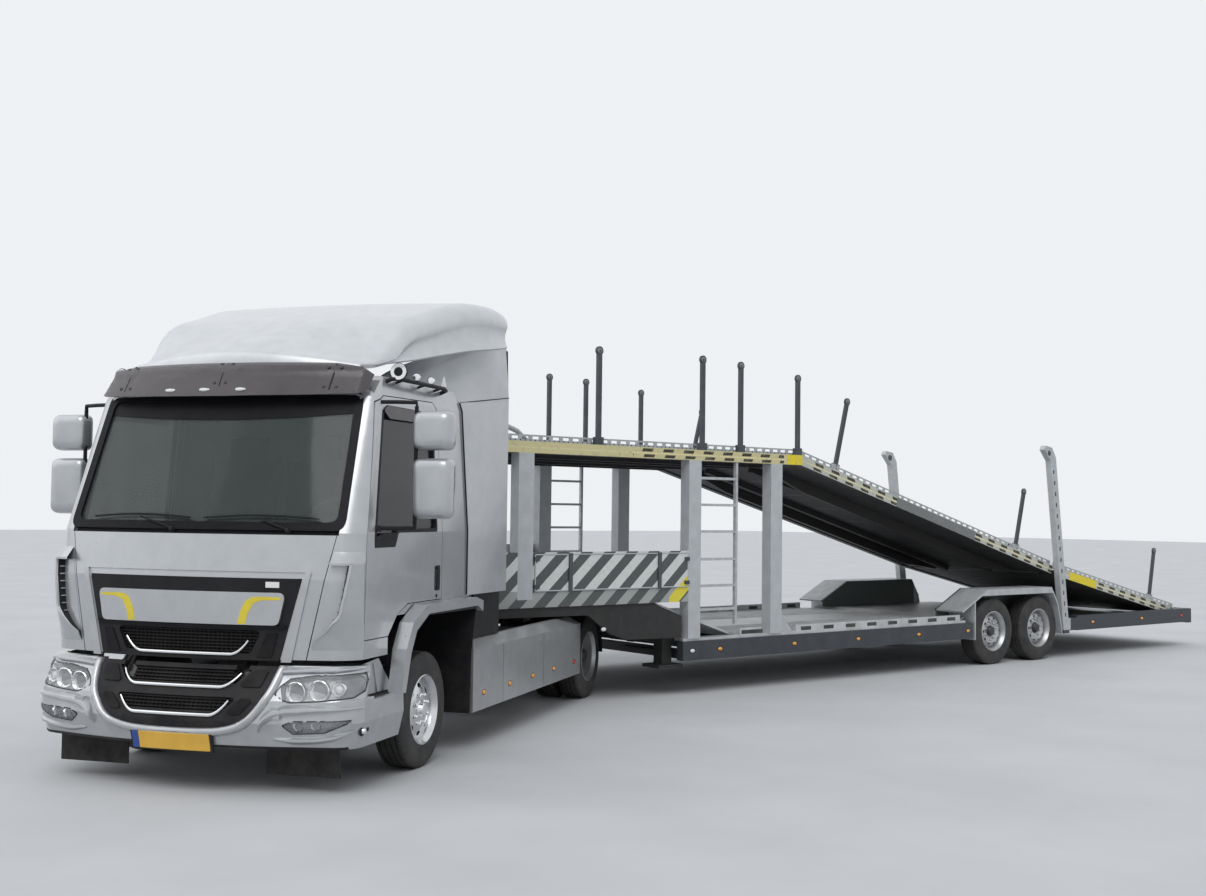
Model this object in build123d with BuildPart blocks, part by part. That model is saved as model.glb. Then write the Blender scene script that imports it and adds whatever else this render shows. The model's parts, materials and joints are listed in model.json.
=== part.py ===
from build123d import *

import os
from math import cos, hypot, radians, sin, tan

os.makedirs("parts", exist_ok=True)

# A light two-axle tractor unit with a lowered car transporter semi-trailer, bent at its coupling.
# Millimetres. Each vehicle is drawn in its own frame and placed when it is saved:
# the tractor has X forward from its front axle, the trailer has X forward from its kingpin,
# both have Y to the left and Z up from the ground.
# The lorry's frame has X along the trailer and its origin on the ground in the middle of its box.

# Driving dimensions of the whole lorry
BEND = 35.0
KINGPIN_IN_TRACTOR = -3578.0
# how far the bent lorry reaches from its kingpin
REACH_BACK = 10880.0
REACH_FRONT = 4438.0
REACH_RIGHT = 1272.0
REACH_LEFT = 3569.0
KINGPIN_X = (REACH_BACK - REACH_FRONT) / 2
KINGPIN_Y = (REACH_RIGHT - REACH_LEFT) / 2
WHEELBASE = 3706.0
TYRE_R = 384.0
RIM_R = 225.0
RIM_WALL = 12.0
DISC_WALL = 14.0
TYRE_W = 215.0
CLEAR = 6.0

# Tractor: rails, coupling, axles
RAIL_OUT = 430.0
RAIL_W = 70.0
RAIL_WALL = 9.0
RAIL_Z = (440.0, 660.0)
RAIL_X = (-4330.0, 1060.0)
PLATE_TOP = 795.0
PLATE_R = 440.0
KINGPIN_R = 25.4
FRONT_TYRE_Y = 975.0
KNUCKLE_Y = 800.0
REAR_INNER_Y = 760.0
REAR_OUTER_Y = 1005.0
BEAM_Z = 300.0
PIN_R = 18.0

# Cab
WALL = 50.0
CAB_BACK = -745.0
CAB_UNDER = 1035.0
FLOOR_TOP = 1095.0
CAB_TOP = 2560.0
CAB_LOW = 800.0
TILT_X = 1105.0
TILT_Z = 650.0
DOOR_HINGE_X = 893.0
DOOR_BACK = -290.0
LID_TOP = 1546.0
GLASS = 8.0

# Trailer
HALF = 1250.0
NECK_UNDER = 800.0
NECK_FLOOR = 900.0
NECK_FRONT = 950.0
DECK_Z = 530.0
REAR_DECK_Z = 420.0
RAIL_LOW = 325.0
RAIL_TOP = 505.0
RAIL_IN = 1162.0
RAIL_FRONT = -1540.0
BEAM_Y = (430.0, 520.0)
UPPER_Z = (2210.0, 2310.0)
FLANGE_TOP = 2370.0
UPPER_BACK = -3150.0
POST_V = (1130.0, 1250.0)
RAMP_HINGE = (-3215.0, 2262.0)
RAMP_SLOPE = 14.9
RAMP_LENGTH = 4700.0
RAMP_HALF = 1150.0
TAIL_SLOPE = 12.0
TAIL_LENGTH = 2920.0
TAIL_GAP = 22.0
HINGE_GAP = 25.0
HINGE_PIN_R = 18.0
AXLES = (-6440.0, -7340.0)
TRAILER_TYRE_Y = 1107.0
BACK_END = -REACH_BACK
# slotted plates that the wheel chocks hook into
PLATE_T = 8.0
SLOT_PITCH = 110.0
SLOT_L = 70.0
SLOT_H = 24.0

TRAILER_HOME = Location((KINGPIN_X, KINGPIN_Y, 0))
TRACTOR_HOME = TRAILER_HOME * Location((0, 0, 0), (0, 0, BEND)) * Location((-KINGPIN_IN_TRACTOR, 0, 0))


def save(builder, name, home):
    """Label a finished piece, put it in the lorry's frame and write it."""
    placed = builder.part.moved(home)
    placed.label = name
    export_step(placed, f"parts/{name}.step")


def side(y=0.0):
    """Plane for an outline seen from the left: X forward, Z up, extruded to the right."""
    return Plane(origin=(0, y, 0), x_dir=(1, 0, 0), z_dir=(0, -1, 0))


def front(x=0.0):
    """Plane for an outline seen from the back: Y to the left, Z up, extruded forward."""
    return Plane(origin=(x, 0, 0), x_dir=(0, 1, 0), z_dir=(1, 0, 0))


def block(xs, ys, zs, mode=Mode.ADD):
    """Box between two corners."""
    with Locations(((xs[0] + xs[1]) / 2, (ys[0] + ys[1]) / 2, (zs[0] + zs[1]) / 2)):
        Box(abs(xs[1] - xs[0]), abs(ys[1] - ys[0]), abs(zs[1] - zs[0]), mode=mode)


def both_sides(xs, ys, zs, mode=Mode.ADD):
    """The same box on the left and on the right."""
    x = (xs[0] + xs[1]) / 2
    y = (ys[0] + ys[1]) / 2
    z = (zs[0] + zs[1]) / 2
    with Locations((x, y, z), (x, -y, z)):
        Box(abs(xs[1] - xs[0]), abs(ys[1] - ys[0]), abs(zs[1] - zs[0]), mode=mode)


def slab(plane, points, depth, mode=Mode.ADD, corner=0.0):
    """Extrude an outline of straight lines, its corners rounded if asked."""
    with BuildSketch(plane) as outline:
        with BuildLine():
            Polyline(*points, close=True)
        make_face()
        if corner:
            fillet(outline.vertices(), corner)
    extrude(outline.sketch, amount=depth, mode=mode)


def rod(start, end, radius, mode=Mode.ADD):
    """Round bar between two points."""
    run = Vector(*end) - Vector(*start)
    with BuildSketch(Plane(origin=start, z_dir=run)) as disc:
        Circle(radius)
    extrude(disc.sketch, amount=run.length, mode=mode)


def ring(plane, outer, inner, depth, mode=Mode.ADD):
    """Flat ring, or a disc where the inner radius is nought."""
    with BuildSketch(plane) as face:
        Circle(outer)
        if inner:
            Circle(inner, mode=Mode.SUBTRACT)
    extrude(face.sketch, amount=depth, mode=mode)


def slotted_plate(start, end, y, zs):
    """Upright plate along both sides, on a middle line at y, with a row of slots for the wheel chocks."""
    both_sides((start, end), (y - PLATE_T / 2, y + PLATE_T / 2), zs)
    count = int((end - start - 60) / SLOT_PITCH)
    first = (start + end - (count - 1) * SLOT_PITCH) / 2
    places = [
        (first + i * SLOT_PITCH, sign * y, (zs[0] + zs[1]) / 2 + 4)
        for i in range(count)
        for sign in (1, -1)
    ]
    with Locations(*places):
        Box(SLOT_L, PLATE_T + 2, SLOT_H, mode=Mode.SUBTRACT)


# Wheels


def wheel_plane(x, y, outward):
    """Plane across a wheel's axis that looks outwards."""
    return Plane(origin=(x, y, TYRE_R), x_dir=(1, 0, 0), z_dir=(0, outward, 0))


def tyre(x, y):
    """Tyre about the wheel's centre."""
    ring(wheel_plane(x, y - TYRE_W / 2, 1), TYRE_R, RIM_R, TYRE_W)


def rim(x, y, outward, dish, holes=0):
    """Barrel with a disc, whose face lies inboard of the barrel's outer edge by dish."""
    ring(wheel_plane(x, y - TYRE_W / 2, 1), RIM_R, RIM_R - RIM_WALL, TYRE_W)
    face = outward * (TYRE_W / 2 - dish - DISC_WALL)
    with BuildSketch(wheel_plane(x, y + face, outward)) as disc:
        Circle(RIM_R - RIM_WALL)
        if holes:
            with PolarLocations(165, holes):
                Circle(24, mode=Mode.SUBTRACT)
    extrude(disc.sketch, amount=DISC_WALL)


for side_name, sign in (("left", 1), ("right", -1)):
    with BuildPart() as front_tyre:
        tyre(0, sign * FRONT_TYRE_Y)
    save(front_tyre, f"front_tyre_{side_name}", TRACTOR_HOME)

    with BuildPart() as front_rim:
        rim(0, sign * FRONT_TYRE_Y, sign, 28, holes=8)
        ring(wheel_plane(0, sign * (FRONT_TYRE_Y + 79), sign), 62, 0, 38)
    save(front_rim, f"front_rim_{side_name}", TRACTOR_HOME)

    with BuildPart() as rear_tyres:
        tyre(-WHEELBASE, sign * REAR_OUTER_Y)
        tyre(-WHEELBASE, sign * REAR_INNER_Y)
    save(rear_tyres, f"rear_tyres_{side_name}", TRACTOR_HOME)

    with BuildPart() as rear_rims:
        rim(-WHEELBASE, sign * REAR_OUTER_Y, sign, 118)
        rim(-WHEELBASE, sign * REAR_INNER_Y, -sign, 96)
        ring(wheel_plane(-WHEELBASE, sign * REAR_INNER_Y, sign), 100, 0, 320)
    save(rear_rims, f"rear_rims_{side_name}", TRACTOR_HOME)

    for axle_name, axle_x in zip(("front", "back"), AXLES):
        with BuildPart() as trailer_tyre:
            tyre(axle_x, sign * TRAILER_TYRE_Y)
        save(trailer_tyre, f"trailer_tyre_{axle_name}_{side_name}", TRAILER_HOME)

        with BuildPart() as trailer_rim:
            rim(axle_x, sign * TRAILER_TYRE_Y, sign, 60)
            ring(wheel_plane(axle_x, sign * (TRAILER_TYRE_Y + 40), sign), 80, 0, 55)
        save(trailer_rim, f"trailer_rim_{axle_name}_{side_name}", TRAILER_HOME)


# Tractor chassis


with BuildPart() as tractor_frame:
    for sign in (1, -1):
        outer = (sign * RAIL_OUT, sign * (RAIL_OUT - RAIL_W))
        block(RAIL_X, outer, RAIL_Z)
        web_in = (sign * (RAIL_OUT - RAIL_WALL), sign * (RAIL_OUT - RAIL_W))
        block(RAIL_X, web_in, (RAIL_Z[0] + RAIL_WALL, RAIL_Z[1] - RAIL_WALL), Mode.SUBTRACT)
    # cross-members, by their middle and length along the lorry
    for x, length in ((960, 90), (-1250, 60), (-2250, 60), (-3050, 60), (-4270, 60)):
        inner = RAIL_OUT - RAIL_WALL
        block((x - length / 2, x + length / 2), (-inner, inner), (600, 650))
    # towers of the cab's tilt hinge, with its pins
    for sign in (1, -1):
        tower = ((900, 600), (TILT_X + 20, 600), (TILT_X + 24, 672), (TILT_X - 24, 676), (900, 655))
        slab(side(sign * 447 + 23), tower, 46)
        rod((TILT_X, sign * 362, TILT_Z), (TILT_X, sign * 430, TILT_Z), 12)
    # cab's rear rest
    both_sides((-760, -690), (330, 430), (660, 1000))
    block((-760, -690), (-430, 430), (1000, CAB_UNDER - 10))
    # coupling's carrier on the rails
    both_sides((-3790, -3370), (360, 440), (660, 700))
save(tractor_frame, "tractor_frame", TRACTOR_HOME)

with BuildPart() as engine:
    block((-780, 300), (-300, 300), (500, 985))
save(engine, "engine", TRACTOR_HOME)

with BuildPart() as fifth_wheel:
    at = KINGPIN_IN_TRACTOR
    with BuildSketch(Plane.XY.offset(PLATE_TOP - 60)) as plate:
        with Locations((at, 0)):
            Circle(PLATE_R)
        with BuildLine():
            Polyline((at - 60, -350), (at - 60, 350), (at - 640, 300), (at - 640, -300), close=True)
        make_face()
        with Locations((at, 0)):
            Circle(KINGPIN_R + 4, mode=Mode.SUBTRACT)
        with BuildLine():
            Polyline((at, -KINGPIN_R - 4), (at, KINGPIN_R + 4), (at - 660, 130), (at - 660, -130), close=True)
        make_face(mode=Mode.SUBTRACT)
    extrude(amount=60)
    both_sides((at - 60, at + 60), (365, 425), (700, PLATE_TOP - 55))
save(fifth_wheel, "fifth_wheel", TRACTOR_HOME)

with BuildPart() as front_axle:
    block((-45, 45), (-600, 600), (BEAM_Z - 45, BEAM_Z + 45))
    for sign in (1, -1):
        end = (
            (600, BEAM_Z - 45),
            (600, BEAM_Z + 45),
            (735, 430),
            (KNUCKLE_Y + 30, 430),
            (KNUCKLE_Y + 30, 340),
            (745, 340),
        )
        slab(front(-45), [(sign * y, z) for y, z in end], 90)
        rod((0, sign * KNUCKLE_Y, 330), (0, sign * KNUCKLE_Y, 440), PIN_R + 1, Mode.SUBTRACT)
    # leaf springs up to the rails
    both_sides((-620, 620), (330, 400), (BEAM_Z + 45, BEAM_Z + 75))
    for x in (-620, 580):
        both_sides((x, x + 40), (340, 390), (BEAM_Z + 75, RAIL_Z[0]))
save(front_axle, "front_axle", TRACTOR_HOME)

for side_name, sign in (("left", 1), ("right", -1)):
    with BuildPart() as knuckle:
        pin_y = sign * KNUCKLE_Y
        fork = (pin_y + sign * 60, pin_y + sign * 84)
        block((-45, 45), fork, (300, 470))
        for zs in ((300, 334), (436, 470)):
            block((-45, 45), (pin_y - sign * 30, fork[0]), zs)
        stub = Plane(origin=(0, pin_y + sign * 84, TYRE_R), z_dir=(0, sign, 0))
        ring(stub, 70, 0, FRONT_TYRE_Y - KNUCKLE_Y - 84 + 60)
        rod((0, pin_y, 300), (0, pin_y, 470), PIN_R)
        block((-190, -45), fork, (340, 372))
    save(knuckle, f"knuckle_{side_name}", TRACTOR_HOME)

with BuildPart() as rear_axle:
    end_y = REAR_INNER_Y - 14
    rod((-WHEELBASE, -end_y, TYRE_R), (-WHEELBASE, end_y, TYRE_R), 52)
    for sign in (1, -1):
        drum = Plane(origin=(-WHEELBASE, sign * (end_y - 90), TYRE_R), z_dir=(0, sign, 0))
        ring(drum, 120, 0, 90)
    ring(wheel_plane(-WHEELBASE, -120, 1), 175, 0, 240)
    block((-WHEELBASE, -WHEELBASE + 330), (-60, 60), (TYRE_R - 60, TYRE_R + 60))
    both_sides((-WHEELBASE - 560, -WHEELBASE + 560), (450, 520), (300, 330))
    both_sides((-WHEELBASE - 50, -WHEELBASE + 50), (450, 520), (330, 380))
    for x in (-560, 520):
        both_sides((-WHEELBASE + x, -WHEELBASE + x + 40), (430, 500), (330, 520))
    # propeller shaft to the gearbox
    rod((-WHEELBASE + 330, 0, TYRE_R), (-784, 0, 540), 40)
save(rear_axle, "rear_axle", TRACTOR_HOME)

with BuildPart() as chassis_tanks:
    for sign in (1, -1):
        low_y = (sign * 450, sign * 1000)
        block((-2150, -1150), low_y, (330, 650))
        block((-2700, -2250), (sign * 450, sign * 900), (350, 640))
        block((-2250, -2150), (sign * 440, sign * 520), (560, 620))
        both = (sign * 430, sign * 450)
        block((-2100, -2000), both, (460, 640))
        block((-1300, -1200), both, (460, 640))
        block((-2600, -2500), both, (460, 640))
save(chassis_tanks, "chassis_tanks", TRACTOR_HOME)


# Cab

# plan sections, low to high: height, end of the flat side, half width,
# front corner along and across, middle of the front
CAB_SECTIONS = (
    (CAB_LOW, 905, 1065, 1025, 935, 1150),
    (1280, 905, 1065, 1025, 945, 1145),
    (1560, 885, 1065, 990, 965, 1095),
    (2420, 600, 1005, 660, 930, 775),
    (CAB_TOP, 480, 960, 545, 885, 650),
)


def plan_section(row, back, inset):
    """One closed plan outline: flat back, flat sides, rounded corners and a bowed front."""
    height, side_end, half, corner_x, corner_y, middle = row
    slope = hypot(1, 0.4)
    y = half - inset
    cx = corner_x - inset * slope
    cy = corner_y - inset
    sx = side_end - inset * 0.6
    with BuildSketch(Plane.XY.offset(height)) as outline:
        with BuildLine():
            Line((back + inset, -y), (sx, -y))
            ThreePointArc((sx, -y), ((sx + cx * 1.6) / 2.6, -(y * 1.35 + cy) / 2.35), (cx, -cy))
            ThreePointArc((cx, -cy), (middle - inset, 0), (cx, cy))
            ThreePointArc((cx, cy), ((sx + cx * 1.6) / 2.6, (y * 1.35 + cy) / 2.35), (sx, y))
            Polyline((sx, y), (back + inset, y), (back + inset, -y))
        make_face()
    return outline.sketch


def cab_block(inset, rows=CAB_SECTIONS, back=CAB_BACK):
    """A form lofted through plan sections, drawn in by inset."""
    with BuildPart() as form:
        sections = [plan_section(row, back, inset).faces()[0] for row in rows]
        loft(sections, ruled=True)
    return form.part


def skin_layer(outside, depth, rows=CAB_SECTIONS, back=CAB_BACK):
    """The skin of such a form between two insets, open at its top, bottom and back."""
    with BuildPart() as layer:
        add(cab_block(outside, rows, back))
        add(cab_block(outside + depth, rows, back - 2 * depth), mode=Mode.SUBTRACT)
    return layer.part


CAB_OUTSIDE = cab_block(0)

# rows of the hollow inside, from the floor to the roof's underside
INSIDE_ROWS = (
    (FLOOR_TOP,) + CAB_SECTIONS[1][1:],
    (1280, 905, 1065, 1025, 945, 1145),
    (1560, 885, 1065, 990, 965, 1095),
    (2420, 600, 1005, 660, 930, 775),
    (CAB_TOP - 60, 525, 975, 590, 900, 700),
)

# outlines in side view: along, up
DOOR_OUTLINE = (
    (DOOR_HINGE_X, 915),
    (878, 1560),
    (640, 2380),
    (560, 2425),
    (-230, 2445),
    (DOOR_BACK, 2390),
    (DOOR_BACK, 1102),
    (265, 1102),
    (420, 1044),
    (556, 915),
)
WINDOW_OUTLINE = (
    (770, 1470),
    (775, 1560),
    (590, 2330),
    (520, 2372),
    (-170, 2372),
    (-222, 2320),
    (-205, 1560),
    (430, 1560),
    (480, 1470),
)
SCOOP_OUTLINE = ((925, 905), (925, 1330), (990, 1375), (1010, 1375), (1010, 905))
# outlines in front view, left half: across, up
LID_OUTLINE = ((921, LID_TOP), (763, 778))
LID_BACKING = ((891, LID_TOP - 30), (733, 808))
GRILLE_OUTLINE = ((737, 1285), (612, 790))
SCREEN_OUTLINE = ((945, 1590), (900, 2425))


def mirrored(half):
    """A whole symmetric outline from its left half, given from top or bottom."""
    return [(y, z) for y, z in half] + [(-y, z) for y, z in reversed(half)]


def bar_outline(half, ends, middle):
    """A grille bar: level in the middle, with both ends turned up."""
    lower = [(half, ends), (half - 70, middle - 13)]
    upper = [(half - 88, middle + 13), (half - 30, ends)]
    return lower + [(-y, z) for y, z in reversed(lower)] + [(-y, z) for y, z in reversed(upper)] + upper


def grown(points, amount):
    """An outline moved outwards all round, for the gap beside a panel."""
    middle_x = sum(p[0] for p in points) / len(points)
    middle_z = sum(p[1] for p in points) / len(points)
    return [
        (x + (amount if x > middle_x else -amount), z + (amount if z > middle_z else -amount))
        for x, z in points
    ]


with BuildPart() as cab_skin:
    add(CAB_OUTSIDE)
    add(cab_block(WALL, INSIDE_ROWS), mode=Mode.SUBTRACT)

# the skin that the doors and the grille are cut from
PANEL_SKIN = skin_layer(0, WALL)

# recess between the lid's top edge and the windscreen, which the lid's edge swings through
with BuildPart() as cowl_recess:
    block((850, 1200), (-935, 935), (LID_TOP, 1592))
    add(skin_layer(-5, 35), mode=Mode.INTERSECT)

# air scoop in the cab's front corner
with BuildPart() as scoop:
    for y in (1100, -850):
        slab(side(y), SCOOP_OUTLINE, 250)
    add(skin_layer(-2, 24), mode=Mode.INTERSECT)

with BuildPart() as cab_shell:
    add(cab_skin.part)
    # cab stands over the chassis and the front wheels
    block((CAB_BACK - 1, 560), (-1100, 1100), (CAB_LOW - 1, CAB_UNDER), Mode.SUBTRACT)
    # tunnel over the engine
    block((CAB_BACK - 1, 700), (-360, 360), (CAB_LOW - 1, CAB_UNDER + 20), Mode.SUBTRACT)
    # bay behind the front lid
    block((940, 1300), (-745, 745), (CAB_LOW - 1, 1500), Mode.SUBTRACT)
    block((620, 1300), (-330, 330), (CAB_LOW - 1, 1000), Mode.SUBTRACT)
    slab(front(900), grown(mirrored(LID_OUTLINE), CLEAR), 400, Mode.SUBTRACT)
    slab(side(1100), grown(DOOR_OUTLINE, CLEAR), 160, Mode.SUBTRACT)
    slab(side(-940), grown(DOOR_OUTLINE, CLEAR), 160, Mode.SUBTRACT)
    slab(front(400), mirrored(SCREEN_OUTLINE), 900, Mode.SUBTRACT, corner=45)
    add(cowl_recess.part, mode=Mode.SUBTRACT)
    add(scoop.part, mode=Mode.SUBTRACT)
    # bulkhead between cabin and lid bay
    block((880, 912), (-900, 900), (FLOOR_TOP - 60, 1530))
    # lugs of the tilt hinge
    for sign in (1, -1):
        eye = Plane(origin=(TILT_X, sign * 410, TILT_Z), z_dir=(0, -sign, 0))
        ring(eye, 28, 0, 40)
        arm = (
            (TILT_X - 26, 640),
            (TILT_X + 26, 658),
            (1020, 830),
            (1020, 1095),
            (890, 1095),
            (890, 820),
            (970, 800),
        )
        slab(side(sign * 390 + 20), arm, 40)
        rod((TILT_X, sign * 360, TILT_Z), (TILT_X, sign * 420, TILT_Z), 14, Mode.SUBTRACT)
save(cab_shell, "cab_shell", TRACTOR_HOME)

with BuildPart() as windscreen:
    slab(front(400), mirrored(SCREEN_OUTLINE), 900, corner=45)
    add(skin_layer(12, GLASS), mode=Mode.INTERSECT)
save(windscreen, "windscreen", TRACTOR_HOME)

# stiffening behind the lid's thin panel, short of its edges
with BuildPart() as lid_backing:
    slab(front(900), mirrored(LID_BACKING), 400)
    add(skin_layer(0, 40), mode=Mode.INTERSECT)

with BuildPart() as front_lid:
    slab(front(900), mirrored(LID_OUTLINE), 400)
    add(skin_layer(0, 12), mode=Mode.INTERSECT)
    add(lid_backing.part)
    slab(front(900), mirrored(GRILLE_OUTLINE), 400, Mode.SUBTRACT)
save(front_lid, "front_lid", TRACTOR_HOME)

# grille slots: lowest and highest edge, half width
GRILLE_SLOTS = ((800, 812, 560), (850, 895, 370), (915, 975, 520))

# raised blank badge panel
with BuildPart() as badge:
    slab(front(1000), mirrored(((640, 1200), (600, 1005))), 300, corner=25)
    add(skin_layer(-14, 34), mode=Mode.INTERSECT)

# bright bar below the slots: half width, height of its ends and of its middle
UPPER_BAR = (420, 905, 826)

with BuildPart() as upper_bar:
    slab(front(900), bar_outline(*UPPER_BAR), 400)
    add(skin_layer(-12, 30), mode=Mode.INTERSECT)

with BuildPart() as grille:
    slab(front(900), mirrored(GRILLE_OUTLINE), 400)
    add(PANEL_SKIN, mode=Mode.INTERSECT)
    for low, high, half in GRILLE_SLOTS:
        for sign in (1, -1):
            block((900, 1300), (sign * 15, sign * half), (low, high), Mode.SUBTRACT)
    add(badge.part)
    add(upper_bar.part)
save(grille, "grille", TRACTOR_HOME)

with BuildPart() as door_left:
    slab(side(1100), DOOR_OUTLINE, 160)
    add(PANEL_SKIN, mode=Mode.INTERSECT)
    slab(side(1100), WINDOW_OUTLINE, 160, Mode.SUBTRACT)
    # handle in its recess
    block((-240, -170), (1050, 1080), (1170, 1320), Mode.SUBTRACT)
    block((-225, -185), (1040, 1068), (1185, 1305))

with BuildPart() as door_glass_left:
    slab(side(1100), WINDOW_OUTLINE, 160)
    add(skin_layer(18, GLASS), mode=Mode.INTERSECT)

MIRROR_X = (470.0, 580.0)
MIRROR_Y = (1200.0, 1467.0)
MIRROR_HEADS = ((1653, 2033), (2083, 2330))
ARM_R = 13.0


def mirror_head(zs):
    """Housing of one glass, with broken corners and a sloping rim at its front."""
    with BuildPart() as head:
        block(MIRROR_X, MIRROR_Y, zs)
        chamfer(head.edges().filter_by(Axis.X), 32)
        chamfer(head.faces().sort_by(Axis.X)[-1].edges(), 38)
    return head.part


with BuildPart() as mirror_left:
    for zs in MIRROR_HEADS:
        add(mirror_head(zs))
    arm_x = MIRROR_X[0] + 55
    arm_y = MIRROR_Y[0] + 18
    rod((arm_x, arm_y, 1585), (arm_x, arm_y, 2395), ARM_R)
    rod((arm_x, arm_y, 1590), (740, 1040, 1590), ARM_R)
    rod((arm_x, arm_y, 2385), (600, 980, 2385), ARM_R)
    add(door_left.part, mode=Mode.SUBTRACT)
    add(door_glass_left.part, mode=Mode.SUBTRACT)

LEFT_PIECES = (
    (door_left, "door"),
    (door_glass_left, "door_glass"),
    (mirror_left, "mirror"),
)
for piece, name in LEFT_PIECES:
    save(piece, f"{name}_left", TRACTOR_HOME)
    with BuildPart() as opposite:
        mirror(piece.part, about=Plane.XZ)
    save(opposite, f"{name}_right", TRACTOR_HOME)

with BuildPart() as seats:
    block((-690, 560), (-960, 960), (FLOOR_TOP, FLOOR_TOP + 12))
    for y, half in ((620, 250), (-620, 250), (0, 240)):
        block((-420, 0), (y - 120, y + 120), (FLOOR_TOP, FLOOR_TOP + 240))
        block((-520, 60), (y - half, y + half), (FLOOR_TOP + 230, FLOOR_TOP + 370))
        back = ((-520, 1440), (-400, 1440), (-520, 2060), (-620, 2060))
        slab(side(y + half), back, 2 * half)
        head = ((-615, 2050), (-530, 2050), (-560, 2230), (-630, 2230))
        slab(side(y + 140), head, 280)
save(seats, "seats", TRACTOR_HOME)

with BuildPart() as dashboard:
    panel = ((878, 1200), (878, 1500), (620, 1545), (540, 1480), (560, 1330), (640, 1200))
    slab(side(900), panel, 1800)
    block((640, 760), (-200, 200), (FLOOR_TOP + 12, 1210))
    # steering wheel on its column, at the left
    rod((650, 620, 1400), (375, 620, 1560), 30)
    tilt = Plane(origin=(365, 620, 1566), z_dir=(-275, 0, 160))
    ring(tilt, 215, 185, 26)
    ring(tilt, 60, 0, 26)
    for turn in (90, 210, 330):
        spoke = Plane(origin=tilt.origin, x_dir=tilt.x_dir, z_dir=tilt.z_dir)
        with BuildSketch(spoke) as arm:
            with Locations(Location((0, 0), turn)):
                with Locations((120, 0)):
                    Rectangle(150, 30)
        extrude(arm.sketch, amount=20)
save(dashboard, "dashboard", TRACTOR_HOME)

# visor rows: as the cab's sections
VISOR_ROWS = (
    (2405, 610, 1005, 690, 935, 810),
    (2582, 500, 985, 575, 905, 715),
)

with BuildPart() as sun_visor:
    add(cab_block(-66, VISOR_ROWS))
    add(cab_block(-58, VISOR_ROWS), mode=Mode.SUBTRACT)
    block((-900, 620), (-1200, 1200), (2400, 2620), Mode.SUBTRACT)
    # stays to the roof, each as long as the bowed visor is far from it
    for y in (-600, 0, 600):
        block((560, 786 - (y / 83) ** 2), (y - 10, y + 10), (CAB_TOP, CAB_TOP + 10))
save(sun_visor, "sun_visor", TRACTOR_HOME)

# roof spoiler sections, front to back: along, half width, lower edge, shoulder, top
SPOILER_SECTIONS = (
    (740, 930, 2590, 2606, 2640),
    (450, 1010, 2655, 2770, 2840),
    (-260, 1075, 2775, 2985, 3070),
    (-1100, 1110, 2900, 3165, 3240),
    (-1400, 1110, 2945, 3205, 3270),
)


def spoiler_section(row, inset):
    """Front view of the spoiler at one place: sides, rounded shoulders and a crowned top."""
    x, half, low, shoulder, top = row
    y = half - inset
    up = shoulder - inset
    crown = top - inset
    radius = min(90, (shoulder - low) * 0.7)
    with BuildSketch(front(x)) as outline:
        with BuildLine():
            Line((y, low), (y, up - radius))
            Line((y, up - radius), (y - radius, up))
            ThreePointArc((y - radius, up), (0, crown), (-y + radius, up))
            Line((-y + radius, up), (-y, up - radius))
            Line((-y, up - radius), (-y, low))
            Line((-y, low), (y, low))
        make_face()
    return outline.sketch.faces()[0]


# the space below it, open downwards and to the back
with BuildPart() as spoiler_hollow:
    inner_rows = [(row[0], row[1], row[2] - 60, row[3], row[4]) for row in SPOILER_SECTIONS]
    inner_rows[0] = (722, 925, 2500, 2604, 2634)
    inner_rows[-1] = (-1401,) + inner_rows[-1][1:]
    loft([spoiler_section(row, 22) for row in inner_rows], ruled=True)

with BuildPart() as roof_spoiler:
    loft([spoiler_section(row, 0) for row in SPOILER_SECTIONS], ruled=True)
    add(spoiler_hollow.part, mode=Mode.SUBTRACT)
    # cheeks that carry on down to the side deflectors
    cheek = ((-150, 2770), (-1400, 2960), (-1400, 2505), (-610, 2505), (-430, 2580))
    for y in (1108, -1080):
        slab(side(y), cheek, 28)
    # ribs that stand on the roof
    rib = ((560, CAB_TOP), (-700, CAB_TOP), (-700, 3090), (-260, 3000), (450, 2790), (560, 2700))
    for y in (460, -440):
        slab(side(y), rib, 20)
save(roof_spoiler, "roof_spoiler", TRACTOR_HOME)

with BuildPart() as deflector_outline:
    cheek = ((-600, 2500), (-1435, 2500), (-1435, 1360), (-1360, 1225), (-1150, 1145), (-600, 1098))
    slab(side(1200), cheek, 200)

with BuildPart() as side_deflectors:
    strip = (
        (-600, 1066),
        (CAB_BACK, 1066),
        (-1390, 1128),
        (-1425, 1110),
        (-1435, 1124),
        (-1400, 1150),
        (-760, 1088),
        (-600, 1082),
    )
    slab(Plane.XY.offset(1080), strip, 1420)
    add(deflector_outline.part, mode=Mode.INTERSECT)
    mirror(about=Plane.XZ)
save(side_deflectors, "side_deflectors", TRACTOR_HOME)

# bumper plan sections, as the cab's
BUMPER_SECTIONS = (
    (285, 960, 1090, 1100, 985, 1250),
    (440, 985, 1125, 1135, 1010, 1300),
    (570, 975, 1118, 1125, 1005, 1265),
    (700, 930, 1095, 1065, 980, 1190),
    (766, 905, 1085, 1020, 955, 1140),
)
BUMPER_BACK = 430.0
STEP_BACK = 485.0
BOWL_OUTLINE = ((612, 770), (580, 600), (420, 420), (180, 400))
LAMP_OUTLINE = ((640, 690), (820, 712), (1200, 735), (1200, 585), (700, 548))
FOG_OUTLINE = ((670, 445), (1080, 465), (1080, 395), (740, 372))

BUMPER_WALL = 42.0

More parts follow.
